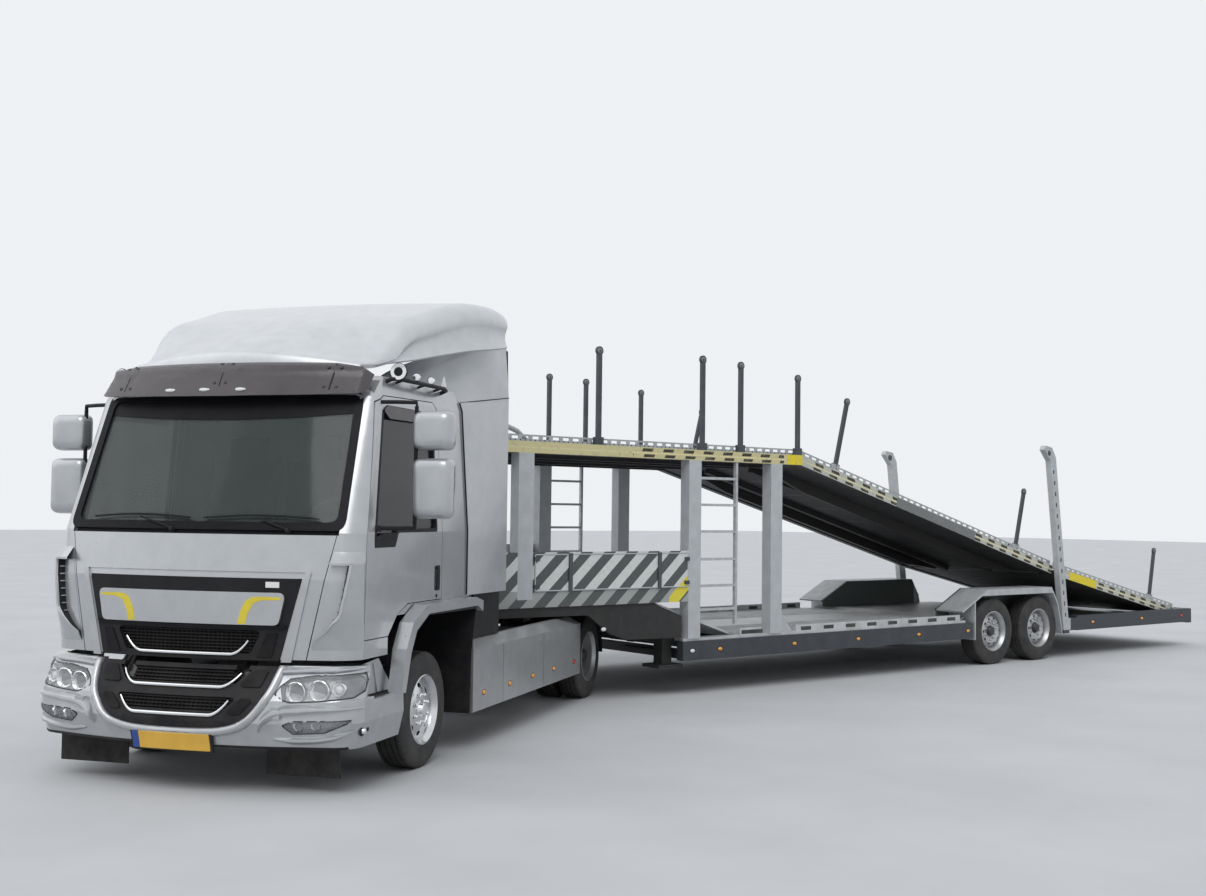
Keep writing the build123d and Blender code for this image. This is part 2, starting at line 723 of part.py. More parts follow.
with BuildPart() as bumper:
    add(skin_layer(0, BUMPER_WALL, BUMPER_SECTIONS, BUMPER_BACK))
    slab(front(800), mirrored(BOWL_OUTLINE), 600, Mode.SUBTRACT)
    for sign in (1, -1):
        slab(front(850), [(sign * y, z) for y, z in LAMP_OUTLINE], 500, Mode.SUBTRACT)
        slab(front(1000), [(sign * y, z) for y, z in FOG_OUTLINE], 400, Mode.SUBTRACT)
    # the side returns are low behind the lamps, with a step tread on top
    both_sides((BUMPER_BACK - 1, 850), (1040, 1200), (560, 780), Mode.SUBTRACT)
    both_sides((STEP_BACK, 870), (840, 1085), (535, 560))
    both_sides((850, 895), (840, 1075), (535, 700))
    # beam behind the skin, on the ends of the rails
    block((RAIL_X[1], RAIL_X[1] + 60), (-900, 900), (470, 540))
    both_sides((RAIL_X[1], 1250), (640, 700), (470, 540))
    both_sides((870, RAIL_X[1] + 60), (850, 895), (470, 540))
save(bumper, "bumper", TRACTOR_HOME)

# bright bars of the lower grille, as the upper one
LOWER_BARS = ((400, 710, 633), (367, 563, 476))

with BuildPart() as lower_bars:
    for bar in LOWER_BARS:
        slab(front(800), bar_outline(*bar), 600)
    add(skin_layer(0, 20, BUMPER_SECTIONS, BUMPER_BACK), mode=Mode.INTERSECT)

with BuildPart() as lower_grille:
    slab(front(800), mirrored(BOWL_OUTLINE), 600)
    add(skin_layer(12, BUMPER_WALL - 12, BUMPER_SECTIONS, BUMPER_BACK), mode=Mode.INTERSECT)
    for low, high, half in ((650, 690, 380), (590, 630, 370), (510, 550, 340), (450, 490, 300)):
        for sign in (1, -1):
            block((900, 1400), (sign * 15, sign * half), (low, high), Mode.SUBTRACT)
    # room for the arms of the tilting cab, also behind the bars
    both_sides((900, 1400), (355, 425), (660, 770), Mode.SUBTRACT)
    add(lower_bars.part)
    both_sides((900, 1152), (355, 425), (660, 770), Mode.SUBTRACT)
save(lower_grille, "lower_grille", TRACTOR_HOME)

with BuildPart() as headlamps:
    for sign in (1, -1):
        slab(front(901), [(sign * y, z) for y, z in LAMP_OUTLINE], 450)
        slab(front(1000), [(sign * y, z) for y, z in FOG_OUTLINE], 350)
    add(skin_layer(4, BUMPER_WALL - 4, BUMPER_SECTIONS, BUMPER_BACK), mode=Mode.INTERSECT)
save(headlamps, "headlamps", TRACTOR_HOME)

# height at which the liner's front leg ends, so that the turned tyre passes below it
LINER_FOOT = 720.0
ARCH_OUTER = ((560, 560), (500, 830), (400, 990), (180, 1090), (-700, 1090), (-830, 1060))
ARCH_INNER = ((-830, 985), (-720, 1030), (150, 1030), (345, 935), (425, 800), (500, 560))
LINER_INNER = (
    (-600, 280),
    (-610, 700),
    (-700, 1010),
    (140, 1020),
    (335, 925),
    (413, 800),
    (423, LINER_FOOT),
)
LINER_OUTER = (
    (435, LINER_FOOT),
    (425, 800),
    (345, 935),
    (150, 1030),
    (-712, 1030),
    (-622, 700),
    (-612, 280),
)

with BuildPart() as front_arches:
    for y in (1170, -1072):
        slab(side(y), ARCH_OUTER + ARCH_INNER, 98)
save(front_arches, "front_arches", TRACTOR_HOME)

with BuildPart() as mudguards:
    for y in (1165, -700):
        slab(side(y), LINER_INNER + LINER_OUTER, 465)
    for sign in (1, -1):
        # arms to the rails
        block((-640, -612), (sign * 430, sign * 720), (600, 640))
        # dark panel behind the cab, down to the skirt
        slab(side(sign * 1040 + 10), ((-940, 1170), (-1470, 1310), (-1470, 772), (-940, 772)), 20)
        # rear wheels
        with BuildSketch(side(sign * 870 + 255)) as hoop:
            with Locations((-WHEELBASE, TYRE_R)):
                Circle(TYRE_R + 16)
                Circle(TYRE_R + 10, mode=Mode.SUBTRACT)
            with Locations((-WHEELBASE, TYRE_R - 500)):
                Rectangle(1000, 1000, mode=Mode.SUBTRACT)
        extrude(hoop.sketch, amount=510)
        block((-WHEELBASE + 394, -WHEELBASE + 400), (sign * 615, sign * 1125), (250, TYRE_R + 1))
        block((-WHEELBASE + 398, -WHEELBASE + 430), (sign * 430, sign * 700), (560, 600))
        block((-WHEELBASE + 398, -WHEELBASE + 430), (sign * 655, sign * 685), (300, 560))
save(mudguards, "mudguards", TRACTOR_HOME)

with BuildPart() as front_flaps:
    both_sides((990, 1000), (484, 974), (100, 330))
    both_sides((940, 1000), (600, 660), (320, 480))
    both_sides((900, 1000), (430, 660), (470, 500))
save(front_flaps, "front_flaps", TRACTOR_HOME)

SKIRT_X = (-3300.0, -700.0)
SKIRT_OUT = 1150.0

with BuildPart() as side_skirts:
    section = (
        (SKIRT_OUT, 270),
        (SKIRT_OUT, 712),
        (1040, 770),
        (1000, 770),
        (1000, 750),
        (1035, 750),
        (SKIRT_OUT - 25, 700),
        (SKIRT_OUT - 25, 270),
    )
    for sign in (1, -1):
        slab(front(SKIRT_X[0]), [(sign * y, z) for y, z in section], SKIRT_X[1] - SKIRT_X[0])
    both_sides((SKIRT_X[1] - 20, SKIRT_X[1]), (1000, SKIRT_OUT - 1), (280, 760))
    for x in (-1050, -2200, -3000):
        both_sides((x, x + 40), (RAIL_OUT, SKIRT_OUT - 20), (655, 690))
save(side_skirts, "side_skirts", TRACTOR_HOME)


# Trailer: neck


def beam_pair(points, ys):
    """A side outline as two like beams, left and right."""
    depth = abs(ys[1] - ys[0])
    slab(side(max(ys)), points, depth)
    slab(side(-min(ys)), points, depth)


with BuildPart() as gooseneck:
    block((-560, 620), (-500, 500), (NECK_UNDER, NECK_UNDER + 12))
    rod((0, 0, PLATE_TOP - 75), (0, 0, NECK_UNDER + 12), KINGPIN_R)
    main_beam = (
        (NECK_FRONT, NECK_FLOOR - 8),
        (NECK_FRONT, NECK_UNDER + 12),
        (-1130, NECK_UNDER + 12),
        (-1330, 480),
        (-2330, 340),
        (-2330, 495),
        (-1215, 862),
        (-1190, NECK_FLOOR - 8),
    )
    beam_pair(main_beam, BEAM_Y)
    side_plate = (
        (NECK_FRONT, NECK_FLOOR - 20),
        (NECK_FRONT, NECK_UNDER),
        (-420, NECK_UNDER - 8),
        (-675, 617),
        (-863, 554),
        (RAIL_FRONT, 542),
        (RAIL_FRONT, 745),
        (-1240, 855),
        (-1200, NECK_FLOOR - 20),
    )
    beam_pair(side_plate, (1190, 1225))
    # cross-members, by their middle
    for u in (905, 350, -300, -800, -1130):
        block((u - 45, u + 45), (-1195, 1195), (NECK_UNDER + 12, NECK_FLOOR - 8))
    block((-1530, -1390), (-1195, 1195), (640, 735))
save(gooseneck, "gooseneck", TRAILER_HOME)

with BuildPart() as landing_legs:
    both_sides((-1520, -1400), (990, 1110), (290, 640))
    both_sides((-1610, -1310), (930, 1170), (262, 290))
    both_sides((-1500, -1420), (500, 990), (400, 420))
save(landing_legs, "landing_legs", TRAILER_HOME)

P1 = (210.0, 370.0)
P2 = (-1755.0, -1600.0)
P3 = (-2860.0, -2700.0)

with BuildPart() as side_panels:
    panel = (
        (NECK_FRONT, 880),
        (NECK_FRONT, 1355),
        (P1[1], 1355),
        (P1[1], 950),
        (P1[0], 950),
        (P1[0], 1355),
        (P2[1], 1355),
        (P2[1], 880),
    )
    beam_pair(panel, (1232, HALF))
    # folded flap in the panel, with its two latch bars
    beam_pair(((190, 1022), (190, 1335), (-1585, 1335), (-1585, 1022)), (HALF, 1258))
    for u in (-190, -1227):
        beam_pair(((u - 18, 1010), (u - 18, 1345), (u + 18, 1345), (u + 18, 1010)), (1258, 1272))
save(side_panels, "side_panels", TRAILER_HOME)

RUNGS = (2045, 1790, 1536, 1272, 1019, 794)

with BuildPart() as deck_posts:
    both_sides(P1, POST_V, (950, UPPER_Z[0]))
    both_sides(P1, (POST_V[0], 1231), (NECK_FLOOR, 951))
    both_sides(P2, POST_V, (DECK_Z, UPPER_Z[0]))
    both_sides(P3, POST_V, (DECK_Z, UPPER_Z[0]))
    beam_pair(((P3[0], DECK_Z), (P3[0], 780), (P3[0] - 220, DECK_Z)), (1180, 1192))
save(deck_posts, "deck_posts", TRAILER_HOME)

with BuildPart() as ladders:
    # behind the second post, which holds the rungs' front ends
    both_sides((-2250, -2222), (1205, 1240), (640, UPPER_Z[0]))
    for z in RUNGS:
        both_sides((-2230, P2[0]), (1208, 1236), (z - 12, z + 12))
save(ladders, "ladders", TRAILER_HOME)


# Trailer: upper deck

with BuildPart() as upper_deck:
    long = (UPPER_BACK, NECK_FRONT)
    both_sides(long, (1120, HALF), UPPER_Z)
    inside = (UPPER_Z[0] + 12, UPPER_Z[1] - 12)
    both_sides((long[0] - 1, long[1] + 1), (1119, HALF - 12), inside, Mode.SUBTRACT)
    slotted_plate(long[0], long[1], 1200, (UPPER_Z[1] - 1, FLANGE_TOP))
    members = 8
    for i in range(members):
        u = NECK_FRONT - 30 - i * (NECK_FRONT - 60 - UPPER_BACK) / (members - 1)
        block((u - 30, u + 30), (-HALF + 12, HALF - 12), (UPPER_Z[0] + 12, UPPER_Z[1] - 40))
    # wheel tracks with a gap between them
    both_sides(long, (280, 1121), (UPPER_Z[1] - 40, UPPER_Z[1] - 28))
    both_sides(long, (280, 288), (UPPER_Z[1] - 40, UPPER_Z[1] + 10))
    # front stop hoop
    for sign in (1, -1):
        hoop = ((200, 2300), (330, 2400), (520, 2465), (900, 2480))
        for start, end in zip(hoop, hoop[1:]):
            rod((start[0], sign * 1150, start[1]), (end[0], sign * 1150, end[1]), 22)
    rod((890, -1150, 2478), (890, 1150, 2478), 22)
    # hinge of the ramp
    hinge_u, hinge_z = RAMP_HINGE
    both_sides((hinge_u, UPPER_BACK), (1000, 1040), (hinge_z - 30, hinge_z + 30))
    for sign in (1, -1):
        rod((hinge_u, sign * 1000, hinge_z), (hinge_u, sign * 1040, hinge_z), 30)
        rod((hinge_u, sign * 940, hinge_z), (hinge_u, sign * 1040, hinge_z), HINGE_PIN_R)
save(upper_deck, "upper_deck", TRAILER_HOME)


def guard_post(foot, ys, height):
    """Upright of the guard line with its clamp and a pulley at the top, in the part's own frame."""
    x, base = foot
    block((x - 22, x + 22), ys, (base, base + height))
    block((x - 45, x + 45), (ys[0] - 6, ys[1] + 6), (base, base + 70))
    middle = (ys[0] + ys[1]) / 2
    rod((x, middle - 10, base + height + 18), (x, middle + 10, base + height + 18), 40)


GUARD_Y = (1210.0, 1244.0)
DECK_GUARDS = ((-510, 830), (-1780, 850), (-2290, 830), (-3100, 760))

with BuildPart() as guard_posts:
    for u, height in DECK_GUARDS:
        guard_post((u, UPPER_Z[1]), GUARD_Y, height)
        guard_post((u, UPPER_Z[1]), (-GUARD_Y[1], -GUARD_Y[0]), height)
save(guard_posts, "guard_posts", TRAILER_HOME)

# Ramps, each in its own frame: X back along the ramp from its hinge, Z square to its floor
BEAM_H = (-40.0, 60.0)
FLANGE_H = 118.0
UNDER_H = -140.0
RAMP_GUARDS = ((560, 740), (3880, 700))
TAIL_GUARDS = ((2270, 640),)


def down_slope(hinge, slope):
    """Placement of a ramp that falls backwards from its hinge."""
    angle = radians(slope)
    back = Vector(-cos(angle), 0, -sin(angle))
    up = Vector(-sin(angle), 0, cos(angle))
    return Plane(origin=(hinge[0], 0, hinge[1]), x_dir=back, z_dir=up)


RAMP_PLANE = down_slope(RAMP_HINGE, RAMP_SLOPE)
KINK = (
    RAMP_HINGE[0] - RAMP_LENGTH * cos(radians(RAMP_SLOPE)),
    RAMP_HINGE[1] - RAMP_LENGTH * sin(radians(RAMP_SLOPE)),
)
TAIL_PLANE = down_slope(KINK, TAIL_SLOPE)


def ramp_body(start, end, members):
    """Side beams, toothed flanges, wheel tracks and cross-members of one ramp section."""
    both_sides((start, end), (RAMP_HALF - 90, RAMP_HALF), BEAM_H)
    inside = (BEAM_H[0] + 12, BEAM_H[1] - 12)
    both_sides((start - 1, end + 1), (RAMP_HALF - 91, RAMP_HALF - 12), inside, Mode.SUBTRACT)
    slotted_plate(start, end, RAMP_HALF - 46, (BEAM_H[1] - 1, FLANGE_H))
    for i in range(members):
        x = start + 30 + i * (end - start - 60) / (members - 1)
        block((x - 30, x + 30), (-RAMP_HALF + 12, RAMP_HALF - 12), (BEAM_H[0] + 12, BEAM_H[1] - 40))
    both_sides((start, end), (260, RAMP_HALF - 89), (BEAM_H[1] - 40, BEAM_H[1] - 28))
    both_sides((start, end), (260, 268), (BEAM_H[1] - 40, BEAM_H[1] + 8))


def hinge_eyes():
    """Eyes at the front end of a ramp section, and room beside them for the lugs that they turn in."""
    both_sides((-1, 62), (990, 1052), (-100, 100), Mode.SUBTRACT)
    both_sides((0, HINGE_GAP + 40), (945, 985), (-30, 30))
    for sign in (1, -1):
        rod((0, sign * 945, 0), (0, sign * 985, 0), 30)
        rod((0, sign * 930, 0), (0, sign * 1000, 0), HINGE_PIN_R + 2, Mode.SUBTRACT)


with BuildPart() as ramp_main:
    ramp_body(HINGE_GAP, RAMP_LENGTH - HINGE_GAP - 20, 9)
    # deep beams below the floor
    deep = (
        (HINGE_GAP, BEAM_H[0] + 12),
        (HINGE_GAP, BEAM_H[0] - 20),
        (700, UNDER_H),
        (RAMP_LENGTH - 700, UNDER_H),
        (RAMP_LENGTH - 80, BEAM_H[0] - 20),
        (RAMP_LENGTH - 80, BEAM_H[0] + 12),
    )
    beam_pair(deep, (560, 620))
    hinge_eyes()
    # lugs and pins of the tail's hinge
    for sign in (1, -1):
        block((RAMP_LENGTH - 60, RAMP_LENGTH), (sign * 1000, sign * 1040), (-30, 30))
        rod((RAMP_LENGTH, sign * 1000, 0), (RAMP_LENGTH, sign * 1040, 0), 30)
        rod((RAMP_LENGTH, sign * 940, 0), (RAMP_LENGTH, sign * 1040, 0), HINGE_PIN_R)
    for x, height in RAMP_GUARDS:
        guard_post((x, BEAM_H[1]), (RAMP_HALF - 38, RAMP_HALF - 8), height)
        guard_post((x, BEAM_H[1]), (-RAMP_HALF + 8, -RAMP_HALF + 38), height)
save(ramp_main, "ramp_main", TRAILER_HOME * RAMP_PLANE.location)

with BuildPart() as ramp_tail:
    ramp_body(HINGE_GAP, TAIL_LENGTH, 6)
    hinge_eyes()
    for x, height in TAIL_GUARDS:
        guard_post((x, BEAM_H[1]), (RAMP_HALF - 38, RAMP_HALF - 8), height)
        guard_post((x, BEAM_H[1]), (-RAMP_HALF + 8, -RAMP_HALF + 38), height)
    # the tail's end lies just over the rear deck, so its underside is cut level there
    deck_drop = (KINK[1] - REAR_DECK_Z - TAIL_GAP) / cos(radians(TAIL_SLOPE))
    lean = tan(radians(TAIL_SLOPE))
    cut = (
        (0, -deck_drop),
        (TAIL_LENGTH + 200, -deck_drop + (TAIL_LENGTH + 200) * lean),
        (TAIL_LENGTH + 200, -deck_drop - 400),
        (0, -deck_drop - 400),
    )
    slab(side(1300), cut, 2600, Mode.SUBTRACT)
save(ramp_tail, "ramp_tail", TRAILER_HOME * TAIL_PLANE.location)


# Trailer: lower frame, floors and running gear


def side_rail(back, ahead):
    """Side rails between two places along the trailer, as channels open inwards."""
    both_sides((back, ahead), (RAIL_IN, HALF), (RAIL_LOW, RAIL_TOP))
    inside = (RAIL_LOW + 10, RAIL_TOP - 10)
    both_sides((back + 12, ahead - 12), (RAIL_IN - 1, HALF - 10), inside, Mode.SUBTRACT)


with BuildPart() as lower_frame:
    beam = (
        (-2330, 330),
        (-5900, 330),
        (-6020, 462),
        (-7760, 462),
        (-7880, 330),
        (BACK_END + 80, 330),
        (BACK_END + 80, 400),
        (-7942, 400),
        (-7900, 545),
        (-5990, 545),
        (-5900, 495),
        (-2330, 495),
    )
    beam_pair(beam, BEAM_Y)
    side_rail(-5990, RAIL_FRONT)
    block((RAIL_FRONT - 70, RAIL_FRONT - 10), (-RAIL_IN, RAIL_IN), (340, 430))
    for u in (-2400, -3300, -4200, -5100, -5860):
        block((u - 30, u + 30), (-RAIL_IN, RAIL_IN), (370, 495))
    for u in (-8130, -9000, -9900, -10740):
        block((u - 30, u + 30), (-RAIL_IN, RAIL_IN), (345, 400))
    # between the lift posts
    block((-7960, -7830), (-1188, 1188), (340, 400))
save(lower_frame, "lower_frame", TRAILER_HOME)

with BuildPart() as floor_plates:
    block((-1210, NECK_FRONT), (-1230, 1230), (NECK_FLOOR - 8, NECK_FLOOR))
    slope = ((-1205, NECK_FLOOR), (-2330, DECK_Z), (-2330, DECK_Z - 22), (-1205, NECK_FLOOR - 22))
    slab(side(1128), slope, 2256)
    block((-5880, -2320), (-1228, 1228), (RAIL_TOP, DECK_Z))
    rise = ((-5880, 505), (-5880, DECK_Z), (-5990, 562), (-5990, 546), (-5905, 508))
    slab(side(1128), rise, 2256)
    block((-2320, RAIL_FRONT - 20), (1100, 1228), (RAIL_TOP, DECK_Z))
    block((-2320, RAIL_FRONT - 20), (-1228, -1100), (RAIL_TOP, DECK_Z))
    # over the axles, between the wheel boxes
    block((-7960, -5990), (-855, 855), (546, 562))
    block((-7960, -7945), (-855, 855), (REAR_DECK_Z - 20, 562))
    block((BACK_END + 80, -7945), (-1160, 1160), (REAR_DECK_Z - 20, REAR_DECK_Z))
    # slotted flange along each side rail
    for us in ((-5780, P3[0] - 230), (-2600, -2300)):
        both_sides(us, (1216, 1228), (DECK_Z - 1, 598))
save(floor_plates, "floor_plates", TRAILER_HOME)

with BuildPart() as fenders:
    outer_path = ((-5800, 640), (-6270, 870), (-7560, 870), (-7700, 660), (-7790, 300))
    inner_path = ((-7774, 300), (-7685, 650), (-7550, 850), (-6275, 850), (-5810, 622))
    beam_pair(outer_path + inner_path, (862, HALF))
    # inner wall, front leg and the narrow outer valance
    wall = ((-5815, 600), (-5815, 628), (-6275, 852), (-7550, 852), (-7680, 648), (-7680, 562), (-5815, 562))
    beam_pair(wall, (862, 874))
    beam_pair(((-6045, 304), (-6045, 740), (-6025, 745), (-6025, 304)), (862, HALF))
    valance = ((-6165, 800), (-6275, 852), (-7550, 852), (-7585, 800))
    beam_pair(valance, (1232, HALF))
save(fenders, "fenders", TRAILER_HOME)

# lift posts with the rear end's side rails and its lamp board
with BuildPart() as rear_frame:
    post = (
        (-7920, 300),
        (-7800, 300),
        (-7525, 2400),
        (-7400, 2530),
        (-7430, 2580),
        (-7560, 2560),
        (-7640, 2440),
    )
    beam_pair(post, (1188, 1260))
    # foot plates towards the rear rails
    both_sides((-8100, -7880), (1188, HALF), (330, 480))
    side_rail(BACK_END + 80, -8090)
    block((BACK_END, BACK_END + 80), (-1240, 1240), (310, 500))
save(rear_frame, "rear_frame", TRAILER_HOME)

with BuildPart() as trailer_axles:
    for u in AXLES:
        rod((u, -1138, TYRE_R), (u, 1138, TYRE_R), 56)
        both_sides((u - 45, u + 45), (440, 510), (TYRE_R + 40, 462))
        # brake drums
        for sign in (1, -1):
            drum = Plane(origin=(u, sign * 1010, TYRE_R), z_dir=(0, sign, 0))
            ring(drum, 150, 0, 100)
save(trailer_axles, "trailer_axles", TRAILER_HOME)
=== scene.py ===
import json
from math import atan2, ceil, cos, hypot, pi, radians, sin, tan

import bmesh
import bpy
import numpy as np
from mathutils import Matrix, Vector


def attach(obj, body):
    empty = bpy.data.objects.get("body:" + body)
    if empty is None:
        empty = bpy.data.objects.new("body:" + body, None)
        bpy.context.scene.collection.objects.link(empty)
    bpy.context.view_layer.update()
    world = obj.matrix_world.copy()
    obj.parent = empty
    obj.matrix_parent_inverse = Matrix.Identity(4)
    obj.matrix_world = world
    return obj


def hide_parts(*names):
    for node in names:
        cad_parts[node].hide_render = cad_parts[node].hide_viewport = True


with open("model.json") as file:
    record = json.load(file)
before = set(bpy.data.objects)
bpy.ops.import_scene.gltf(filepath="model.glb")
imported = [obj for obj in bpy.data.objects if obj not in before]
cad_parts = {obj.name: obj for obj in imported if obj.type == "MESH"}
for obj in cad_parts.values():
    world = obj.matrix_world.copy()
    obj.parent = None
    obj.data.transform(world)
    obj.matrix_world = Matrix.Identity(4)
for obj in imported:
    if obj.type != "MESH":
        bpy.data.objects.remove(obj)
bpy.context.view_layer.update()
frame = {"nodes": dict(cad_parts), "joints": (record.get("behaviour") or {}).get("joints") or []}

# Metres. Each vehicle is drawn in its own frame: X forward, Y to its left, Z up from the ground.
# The trailer's frame starts at the kingpin and the tractor's at its front axle.
BEND = radians(35)
KINGPIN_TO_AXLE = 3.578
KINGPIN = next(joint["pos_m"] for joint in frame["joints"] if joint["name"] == "fifth_wheel")
TRAILER = Matrix.Translation((KINGPIN[0], KINGPIN[1], 0))
TRACTOR = TRAILER @ Matrix.Rotation(BEND, 4, "Z") @ Matrix.Translation((KINGPIN_TO_AXLE, 0, 0))
SIDES = (("left", 1), ("right", -1))


def clamp(value):
    """A value held between nought and one."""
    return min(1.0, max(0.0, value))


# Camera of the photograph: its place from the kingpin, its angles, its lens in millimetres

CAMERA_PLACE = Vector((7.185, 10.839, 1.706))
HEADING, RISE, ROLL = radians(231.12), radians(2.68), radians(0.71)
FOCAL_LENGTH, SENSOR_WIDTH = 41.05, 36
FARTHEST = 200


def make_camera():
    """Camera that stands beside the trailer, looks slightly up and is rolled a little."""
    ahead = Vector((cos(HEADING) * cos(RISE), sin(HEADING) * cos(RISE), sin(RISE)))
    level = Vector((sin(HEADING), -cos(HEADING), 0))
    square = level.cross(ahead)
    right = level * cos(ROLL) + square * sin(ROLL)
    up = square * cos(ROLL) - level * sin(ROLL)
    data = bpy.data.cameras.new("camera")
    data.sensor_width = SENSOR_WIDTH
    data.lens = FOCAL_LENGTH
    data.clip_end = FARTHEST
    camera = bpy.data.objects.new("camera", data)
    place = CAMERA_PLACE + Vector((KINGPIN[0], KINGPIN[1], 0))
    turn = Matrix((right, up, -ahead)).transposed()
    camera.matrix_world = Matrix.Translation(place) @ turn.to_4x4()
    bpy.context.scene.collection.objects.link(camera)
    bpy.context.scene.camera = camera


# Materials


def node(tree, kind, inputs=None, **settings):
    """Add a shader node, set its properties and feed its inputs from values or other outputs."""
    made = tree.nodes.new(kind)
    for name, value in settings.items():
        setattr(made, name, value)
    for name, value in (inputs or {}).items():
        socket = made.inputs[name]
        if isinstance(value, bpy.types.NodeSocket):
            tree.links.new(value, socket)
        else:
            socket.default_value = value
    return made


def math_node(tree, operation, first, second=0.0):
    return node(tree, "ShaderNodeMath", {0: first, 1: second}, operation=operation).outputs[0]


def times(tree, first, second):
    return math_node(tree, "MULTIPLY", first, second)


def minus(tree, first, second):
    return math_node(tree, "SUBTRACT", first, second)


def more(tree, value, limit):
    """1 where a value is above a limit, else 0."""
    return math_node(tree, "GREATER_THAN", value, limit)


def less(tree, value, limit):
    """1 where a value is below a limit, else 0."""
    return math_node(tree, "LESS_THAN", value, limit)


def between(tree, value, low, high):
    """1 where a value lies between two limits, else 0."""
    return times(tree, more(tree, value, low), less(tree, value, high))


def joined(tree, operation, masks):
    """Masks taken together: MAXIMUM is 1 where any of them is, MULTIPLY where all of them are."""
    total = masks[0]
    for mask in masks[1:]:
        total = math_node(tree, operation, total, mask)
    return total


def rgba(color):
    return (*color, 1.0) if len(color) == 3 else color


def ramp(tree, factor, low, high, dark=(0, 0, 0), light=(1, 1, 1)):
    """Colour that goes from dark to light as the factor goes from low to high."""
    made = node(tree, "ShaderNodeValToRGB", {"Fac": factor})
    for element, position, color in zip(made.color_ramp.elements, (low, high), (dark, light)):
        element.position = position
        element.color = rgba(color)
    return made.outputs["Color"]


def mix(tree, factor, first, second):
    """The first colour where the factor is 0, the second where it is 1."""
    made = node(tree, "ShaderNodeMix", data_type="RGBA")
    for name, value in ((0, factor), (6, first), (7, second)):
        socket = made.inputs[name]
        if isinstance(value, bpy.types.NodeSocket):
            tree.links.new(value, socket)
        else:
            socket.default_value = rgba(value) if name else value
    return made.outputs[2]


def local_coords(tree, home):
    """Coordinates in a vehicle's own frame, which stay on the piece as it moves."""
    back = home.inverted()
    place = node(tree, "ShaderNodeTexCoord").outputs["Object"]
    inputs = {"Vector": place, "Location": back.translation, "Rotation": back.to_euler()}
    return node(tree, "ShaderNodeMapping", inputs).outputs[0]


def places(tree, coords):
    """Parts of coordinates: place along, distance from the middle to either side, and height."""
    split = node(tree, "ShaderNodeSeparateXYZ", {"Vector": coords})
    return split.outputs["X"], math_node(tree, "ABSOLUTE", split.outputs["Y"]), split.outputs["Z"]


def noise(tree, coords, scale, detail=3.0, rough=0.55):
    inputs = {"Vector": coords, "Scale": scale, "Detail": detail, "Roughness": rough}
    return node(tree, "ShaderNodeTexNoise", inputs).outputs["Fac"]


# road dust: its colour, the height up to which it lies and how fast it grows below that
DUST = (0.17, 0.155, 0.135)
DUST_TOP = 1.3
DUST_GROWTH = 0.75
# how far the gloss strays from a finish's roughness, and the least it may be
GLOSS_BELOW, GLOSS_ABOVE, LEAST_ROUGH = 0.07, 0.09, 0.03


def surface(
    name, color, rough, metal=0.0, vary=0.12, scale=9.0, grain=350.0, bump=0.02, dirt=0.25, coat=0.0,
    home=TRACTOR, speck=0.0,
):
    """Principled material with uneven tone and gloss, fine grain and road dust near the ground."""
    mat = bpy.data.materials.new(name)
    mat.use_nodes = True
    tree = mat.node_tree
    shader = tree.nodes["Principled BSDF"]
    coords = local_coords(tree, home)
    broad = noise(tree, coords, scale, 4.0)
    fine = noise(tree, coords, grain, 2.0)
    dark = [c * (1 - vary) for c in color]
    light = [min(1.0, c * (1 + vary)) for c in color]
    tone = ramp(tree, broad, 0.3, 0.7, dark, light)
    if speck:
        cells = node(tree, "ShaderNodeTexVoronoi", {"Vector": coords, "Scale": grain * 2.0})
        flake = times(tree, cells.outputs["Distance"], speck)
        tone = mix(tree, flake, tone, [min(1.0, c * 1.6) for c in color])
    if dirt:
        height = node(tree, "ShaderNodeSeparateXYZ", {"Vector": coords}).outputs["Z"]
        low = times(tree, minus(tree, DUST_TOP, height), DUST_GROWTH)
        patchy = times(tree, ramp(tree, noise(tree, coords, 5.0, 6.0, 0.7), 0.38, 0.72), low)
        amount = node(tree, "ShaderNodeMath", {0: patchy, 1: dirt}, operation="MULTIPLY", use_clamp=True)
        tone = mix(tree, amount.outputs[0], tone, DUST)
    tree.links.new(tone, shader.inputs["Base Color"])
    least, most = max(LEAST_ROUGH, rough - GLOSS_BELOW), rough + GLOSS_ABOVE
    stain = noise(tree, coords, scale * 2.3, 5.0)
    gloss = node(tree, "ShaderNodeMapRange", {"Value": stain, "To Min": least, "To Max": most})
    tree.links.new(gloss.outputs[0], shader.inputs["Roughness"])
    shader.inputs["Metallic"].default_value = metal
    shader.inputs["Coat Weight"].default_value = coat
    shader.inputs["Coat Roughness"].default_value = 0.06
    relief = node(tree, "ShaderNodeBump", {"Height": fine, "Strength": bump * 10, "Distance": 0.002})
    tree.links.new(relief.outputs[0], shader.inputs["Normal"])
    return mat


def parts_of(mat):
    """A material's tree, its shader and the output that feeds its colour."""
    tree = mat.node_tree
    shader = tree.nodes["Principled BSDF"]
    return tree, shader, shader.inputs["Base Color"].links[0].from_socket


def clear_glass(name, color, rough=0.02, alpha=0.35):
    """Tinted glass: partly see-through with a sharp reflection and faint film of dust."""
    mat = surface(name, color, rough, vary=0.08, bump=0.0, dirt=0.15)
    tree, shader = parts_of(mat)[:2]
    shader.inputs["IOR"].default_value = 1.5
    stain = noise(tree, local_coords(tree, TRACTOR), 6.0, 5.0)
    film = node(tree, "ShaderNodeMapRange", {"Value": stain, "To Min": alpha - 0.05, "To Max": alpha + 0.07})
    tree.links.new(film.outputs[0], shader.inputs["Alpha"])
    return mat


